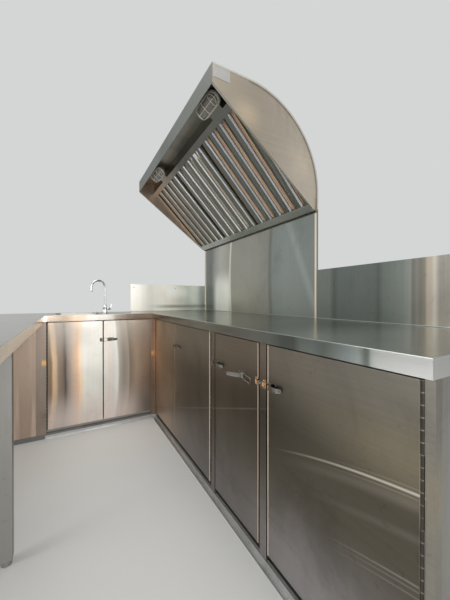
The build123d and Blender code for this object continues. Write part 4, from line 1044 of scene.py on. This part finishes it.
class KITCHEN_OT_tap(bpy.types.Operator):
    """Build the mixer tap: column, side lever, collar and swan neck"""

    bl_idname = "kitchen.tap"
    bl_label = "Tap"

    def execute(self, context):
        upright = placed((*TAP_AT, TOP_Z), (1, 0, 0), (0, 0, 1), (0, 1, 0))
        column = Shape(upright)
        column.turned((0, 0), COLUMN)
        column.made("tap_column", "chrome", slot="chrome", replaced=("tap_body",))
        lever = Shape(placed((*TAP_AT, TOP_Z + LEVER * MM), (0, 1, 0), (1, 0, 0), (0, 0, 1)))
        lever.turned((0, 0), HUB)
        lever.place = upright
        lever.swept(eased(LEVER_LINE), flat_strip(5.8, 3.4, 0.7))
        lever.made("tap_handle", "chrome", slot="chrome", replaced=("tap_lever",), bevel=0.8)
        collar = Shape(upright)
        collar.turned((0, 0), [(radius, COLLAR + height) for radius, height in RING_NUT])
        collar.made("tap_ring", "chrome", "tap_spout", "chrome", ("spout_collar",))
        self.neck(context.scene.kitchen_tap)
        return {"FINISHED"}

    def neck(self, sizes):
        """Riser, half circle and the nozzle at its end."""
        way = Vector((math.cos(sizes.turn), math.sin(sizes.turn), 0))
        shape = Shape(placed((*TAP_AT, TOP_Z), way, (0, 0, 1), way.cross(Vector((0, 0, 1)))))
        half = sizes.reach / 2
        bend = sizes.top - half
        path = [(0, COLLAR + height, 0) for height in NECK_START]
        steps = 24
        for i in range(steps + 1):
            turn = math.pi * (1 - i / steps)
            path.append((half + half * math.cos(turn), bend + half * math.sin(turn), 0))
        path.append((sizes.reach, bend - STRAIGHT_END, 0))
        shape.tube(path, sizes.neck, 20)
        shape.turned((sizes.reach, 0), [(radius, bend - MOUTH + height) for radius, height in NOZZLE])
        shape.made("tap_neck", "chrome", "tap_spout", "chrome", ("tap_spout",))


# Piano hinges: name, run, axis along the run in metres, body that the moving half rides on
HINGE_LINES = (
    ("near", "right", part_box("door_4")[0].y + 0.0035, "door_4"),
    ("middle", "right", -0.278, "door_2"),
    ("far", "right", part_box("door_1")[1].y - 0.0035, "door_1"),
    ("left", "end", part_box("door_5")[0].x + 0.0035, "door_5"),
)
# Stands a turned piece upright beside a front
STANDING = Matrix(((1, 0, 0, 0), (0, 0, 1, 0), (0, 1, 0, 0), (0, 0, 0, 1)))


class HingeSizes(bpy.types.PropertyGroup):
    """Sleeves of the piano hinges."""

    count: IntProperty(name="Spans", description="Spans that move or stay by turns", default=5)
    sleeves: IntProperty(name="Sleeves", description="Short sleeves in each span", default=6)
    radius: FloatProperty(name="Radius", description="Radius of a sleeve in millimetres", default=3.8)


class KITCHEN_OT_hinges(bpy.types.Operator):
    """Build the short sleeves of the piano hinges"""

    bl_idname = "kitchen.hinges"
    bl_label = "Hinges"

    def execute(self, context):
        sizes = context.scene.kitchen_hinges
        low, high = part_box("door_4")
        pitch = (high.z - low.z) / MM / sizes.count
        for name, run, axis, body in HINGE_LINES:
            for half, first, rider in (("_post", 0, "unit"), ("_door", 1, body)):
                shape = Shape(place_on(run, axis, low.z) @ STANDING)
                for span in range(first, sizes.count, 2):
                    self.sleeves(shape, sizes, span * pitch, pitch / sizes.sleeves)
                shape.made("hinge_" + name + half, "hinge_steel", rider, "steel_brushed")
        return {"FINISHED"}

    def sleeves(self, shape, sizes, start, part):
        """Sleeves of one span, from its start upwards."""
        r = sizes.radius
        for i in range(sizes.sleeves):
            low = start + i * part
            high = low + part
            sleeve = ((r - 0.7, low + 0.8), (r, low + 1.5), (r, high - 1.5), (r - 0.7, high - 0.8))
            shape.turned((0, 0), sleeve, 12)


class SinkSizes(bpy.types.PropertyGroup):
    """Strainer of the sink, in millimetres."""

    radius: FloatProperty(name="Strainer radius", description="Outer radius of the strainer", default=39.0)
    spokes: IntProperty(name="Bars", description="Bars across the strainer", default=12)


# Middle knob of the strainer, and a screw's head and its slot, as (radius, height)
KNOB = ((9, -2.5), (9, -1), (6, -0.2), (3, 1.2), (1, 1.4))
SCREW_HEAD = ((4.4, -0.1), (4.3, 1.0), (3.4, 1.9), (1.6, 2.2))
SCREW_SLOT = ((1.5, 2.0), (1.4, 2.35))
# Screws of the end splash: X in millimetres, and metres below its top edge
SCREWS_X = (260, 678)
SCREWS_DOWN = 0.033


class KITCHEN_OT_sink(bpy.types.Operator):
    """Build the strainer in the sink's drain and the screws and seams of the splashbacks"""

    bl_idname = "kitchen.sink"
    bl_label = "Sink strainer, screws and seams"

    def execute(self, context):
        sizes = context.scene.kitchen_sink
        low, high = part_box("sink_bowl")
        middle = (low + high) / 2
        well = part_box("sink_waste")[1].z
        shape = Shape(placed((middle.x, middle.y, well), (1, 0, 0), (0, 0, 1), (0, 1, 0)))
        shape.tube([(a, 0.4, b) for a, b in circle(sizes.radius, 48)], 1.4, looped=True)
        shape.turned((0, 0), KNOB, 24)
        for a, b in circle(1, sizes.spokes):
            way = Vector((a, 0, b))
            shape.tube([way * 7 + Vector((0, -1.2, 0)), way * (sizes.radius - 0.5)], 1.2)
        shape.made("sink_strainer", "bright_edge")
        self.screws()
        self.seams()
        return {"FINISHED"}

    def screws(self):
        """Two pan heads near the top of the end splash."""
        low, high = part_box("splash_end")
        shape = Shape(placed((0, low.y, high.z - SCREWS_DOWN), (1, 0, 0), (0, -1, 0), (0, 0, 1)))
        for x in SCREWS_X:
            shape.turned((x, 0), SCREW_HEAD, 20)
            shape.turned((x, 0), SCREW_SLOT, 4)
        shape.made("splash_screws", "latch_plate")

    def seams(self):
        """Beads of grey sealant where the splashbacks stand on the worktop."""
        shape = Shape(Matrix.Scale(MM, 4))
        for node, axis in (("splash_right", 1), ("tall_panel", 1), ("splash_end", 0)):
            low, high = (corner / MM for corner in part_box(node))
            ends = [Vector((low.x, low.y, TOP_Z / MM + 0.3)) for _ in range(2)]
            ends[1][axis] = high[axis]
            shape.tube(ends, 1.5, 6)
        shape.made("sealant_beads", "sealant", slot="trim")


class StageSizes(bpy.types.PropertyGroup):
    """Floor, backdrop and light."""

    floor_side: FloatProperty(name="Floor side", description="Side of the square floor", default=40.0,
                              unit="LENGTH")
    floor_colour: FloatVectorProperty(name="Floor colour", description="Plain pale floor", size=3,
                                      default=(0.62, 0.62, 0.60), subtype="COLOR")
    backdrop: FloatVectorProperty(name="Backdrop", description="Colour behind the unit", size=3,
                                  default=(0.66, 0.67, 0.67), subtype="COLOR")
    fill: FloatProperty(name="Fill", description="Strength of the light all round", default=0.62, min=0.0)


class KITCHEN_OT_finishes(bpy.types.Operator):
    """Give every carried-over node its finish"""

    bl_idname = "kitchen.finishes"
    bl_label = "Finishes"

    def execute(self, context):
        finishes = {row[0]: brushed_steel(*row) for row in SHEETS}
        finishes |= {row[0]: plain(*row) for row in CASTINGS}
        finishes |= {"baffle_" + row[0]: baffle_steel(*row) for row in BAFFLES}
        finishes["lamp_glass"] = lamp_glass()
        finish_of = {node: finish for finish, nodes in FINISH_NODES.items() for node in nodes.split()}
        for name, node in NODES.items():
            node.data.materials.clear()
            node.data.materials.append(finishes[finish_of[name]])
        return {"FINISHED"}


class KITCHEN_OT_stage(bpy.types.Operator):
    """Set up the floor, the soft lights and the camera"""

    bl_idname = "kitchen.stage"
    bl_label = "Stage"

    def execute(self, context):
        sizes = context.scene.kitchen_stage
        self.floor(sizes)
        self.world(context.scene, sizes)
        for name, place, aim, size, power in self.lamps():
            self.softbox(name, place, aim, size, power)
        self.camera(context.scene)
        context.scene.view_settings.view_transform = "Standard"
        return {"FINISHED"}

    def floor(self, sizes):
        mesh = bpy.data.meshes.new("floor")
        h = sizes.floor_side / 2
        mesh.from_pydata([(-h, -h, 0), (h, -h, 0), (h, h, 0), (-h, h, 0)], [], [(0, 1, 2, 3)])
        ground = bpy.data.objects.new("floor", mesh)
        bpy.context.scene.collection.objects.link(ground)
        finish = Finish("floor", roughness=0.55)
        cloud = finish.noise((0.7, 0.7, 0.7), 2.0)
        finish.set("Base Color", finish.dimmed(tuple(sizes.floor_colour), 0.97 + 0.05 * cloud))
        mesh.materials.append(finish.material)

    def world(self, scene, sizes):
        world = bpy.data.worlds.new("studio")
        world.use_nodes = True
        scene.world = world
        sheet = Sheet(world.node_tree)
        world.node_tree.nodes.clear()
        path = sheet.node("ShaderNodeLightPath", {}, {}, "Is Camera Ray")
        paths = path.socket.node.outputs
        seen = path.most(Wire(sheet, paths["Is Glossy Ray"])).most(Wire(sheet, paths["Is Transmission Ray"]))
        strength = sizes.fill + (1.0 - sizes.fill) * seen
        background = sheet.node("ShaderNodeBackground", {},
                                {"Color": tuple(sizes.backdrop), "Strength": strength})
        output = world.node_tree.nodes.new("ShaderNodeOutputWorld")
        world.node_tree.links.new(background.socket, output.inputs["Surface"])

    def lamps(self):
        """Softboxes: name, place, aim, size and power in watts."""
        return (
            ("overhead", (-0.2, -0.4, 4.2), (0.0, 0.0, 0.6), (3.4, 3.4), 90),
            ("doorway", (0.15, -4.2, 1.5), (-0.1, 0.8, 0.7), (1.5, 2.4), 47),
            ("left_side", (-3.6, -0.6, 2.2), (0.6, 0.1, 0.9), (1.6, 2.4), 50),
        )

    def softbox(self, name, place, aim, size, power):
        lamp = bpy.data.lights.new(name, "AREA")
        lamp.shape = "RECTANGLE"
        lamp.size, lamp.size_y = size
        lamp.energy = power
        rig = bpy.data.objects.new(name, lamp)
        rig.location = place
        rig.rotation_euler = (Vector(aim) - Vector(place)).to_track_quat("-Z", "Y").to_euler()
        bpy.context.scene.collection.objects.link(rig)

    def camera(self, scene):
        lens = bpy.data.cameras.new("camera")
        lens.sensor_fit = "VERTICAL"
        lens.sensor_height = 36.0
        lens.sensor_width = 27.0
        lens.lens = CAMERA_LENS
        lens.shift_y = CAMERA_SHIFT_Y
        lens.clip_start = 0.02
        eye = bpy.data.objects.new("camera", lens)
        eye.location = CAMERA_PLACE
        eye.rotation_euler = (math.radians(90 - CAMERA_DOWN), 0, -math.radians(CAMERA_RIGHT))
        scene.collection.objects.link(eye)
        scene.camera = eye


class KITCHEN_PT_panel(bpy.types.Panel):
    """Lists the pieces of the kitchen unit"""

    bl_idname = "KITCHEN_PT_panel"
    bl_label = "Kitchen unit"
    bl_space_type = "VIEW_3D"
    bl_region_type = "UI"
    bl_category = "Kitchen"

    def draw(self, context):
        for operator in STEPS:
            self.layout.operator(operator.bl_idname)


STEPS = (KITCHEN_OT_finishes, KITCHEN_OT_latches, KITCHEN_OT_filters, KITCHEN_OT_lamps, KITCHEN_OT_tap,
         KITCHEN_OT_hinges, KITCHEN_OT_sink, KITCHEN_OT_stage)
GROUPS = (("kitchen_latches", LatchSizes), ("kitchen_filters", FilterSizes), ("kitchen_lamps", LampSizes),
          ("kitchen_tap", TapSizes), ("kitchen_hinges", HingeSizes), ("kitchen_sink", SinkSizes),
          ("kitchen_stage", StageSizes))


def register():
    for name, group in GROUPS:
        bpy.utils.register_class(group)
        setattr(bpy.types.Scene, name, PointerProperty(type=group))
    for step in STEPS:
        bpy.utils.register_class(step)
    bpy.utils.register_class(KITCHEN_PT_panel)


def unregister():
    bpy.utils.unregister_class(KITCHEN_PT_panel)
    for step in reversed(STEPS):
        bpy.utils.unregister_class(step)
    for name, group in reversed(GROUPS):
        delattr(bpy.types.Scene, name)
        bpy.utils.unregister_class(group)


def main():
    register()
    for step in STEPS:
        group, name = step.bl_idname.split(".")
        getattr(getattr(bpy.ops, group), name)()


if __name__ == "__main__":
    main()
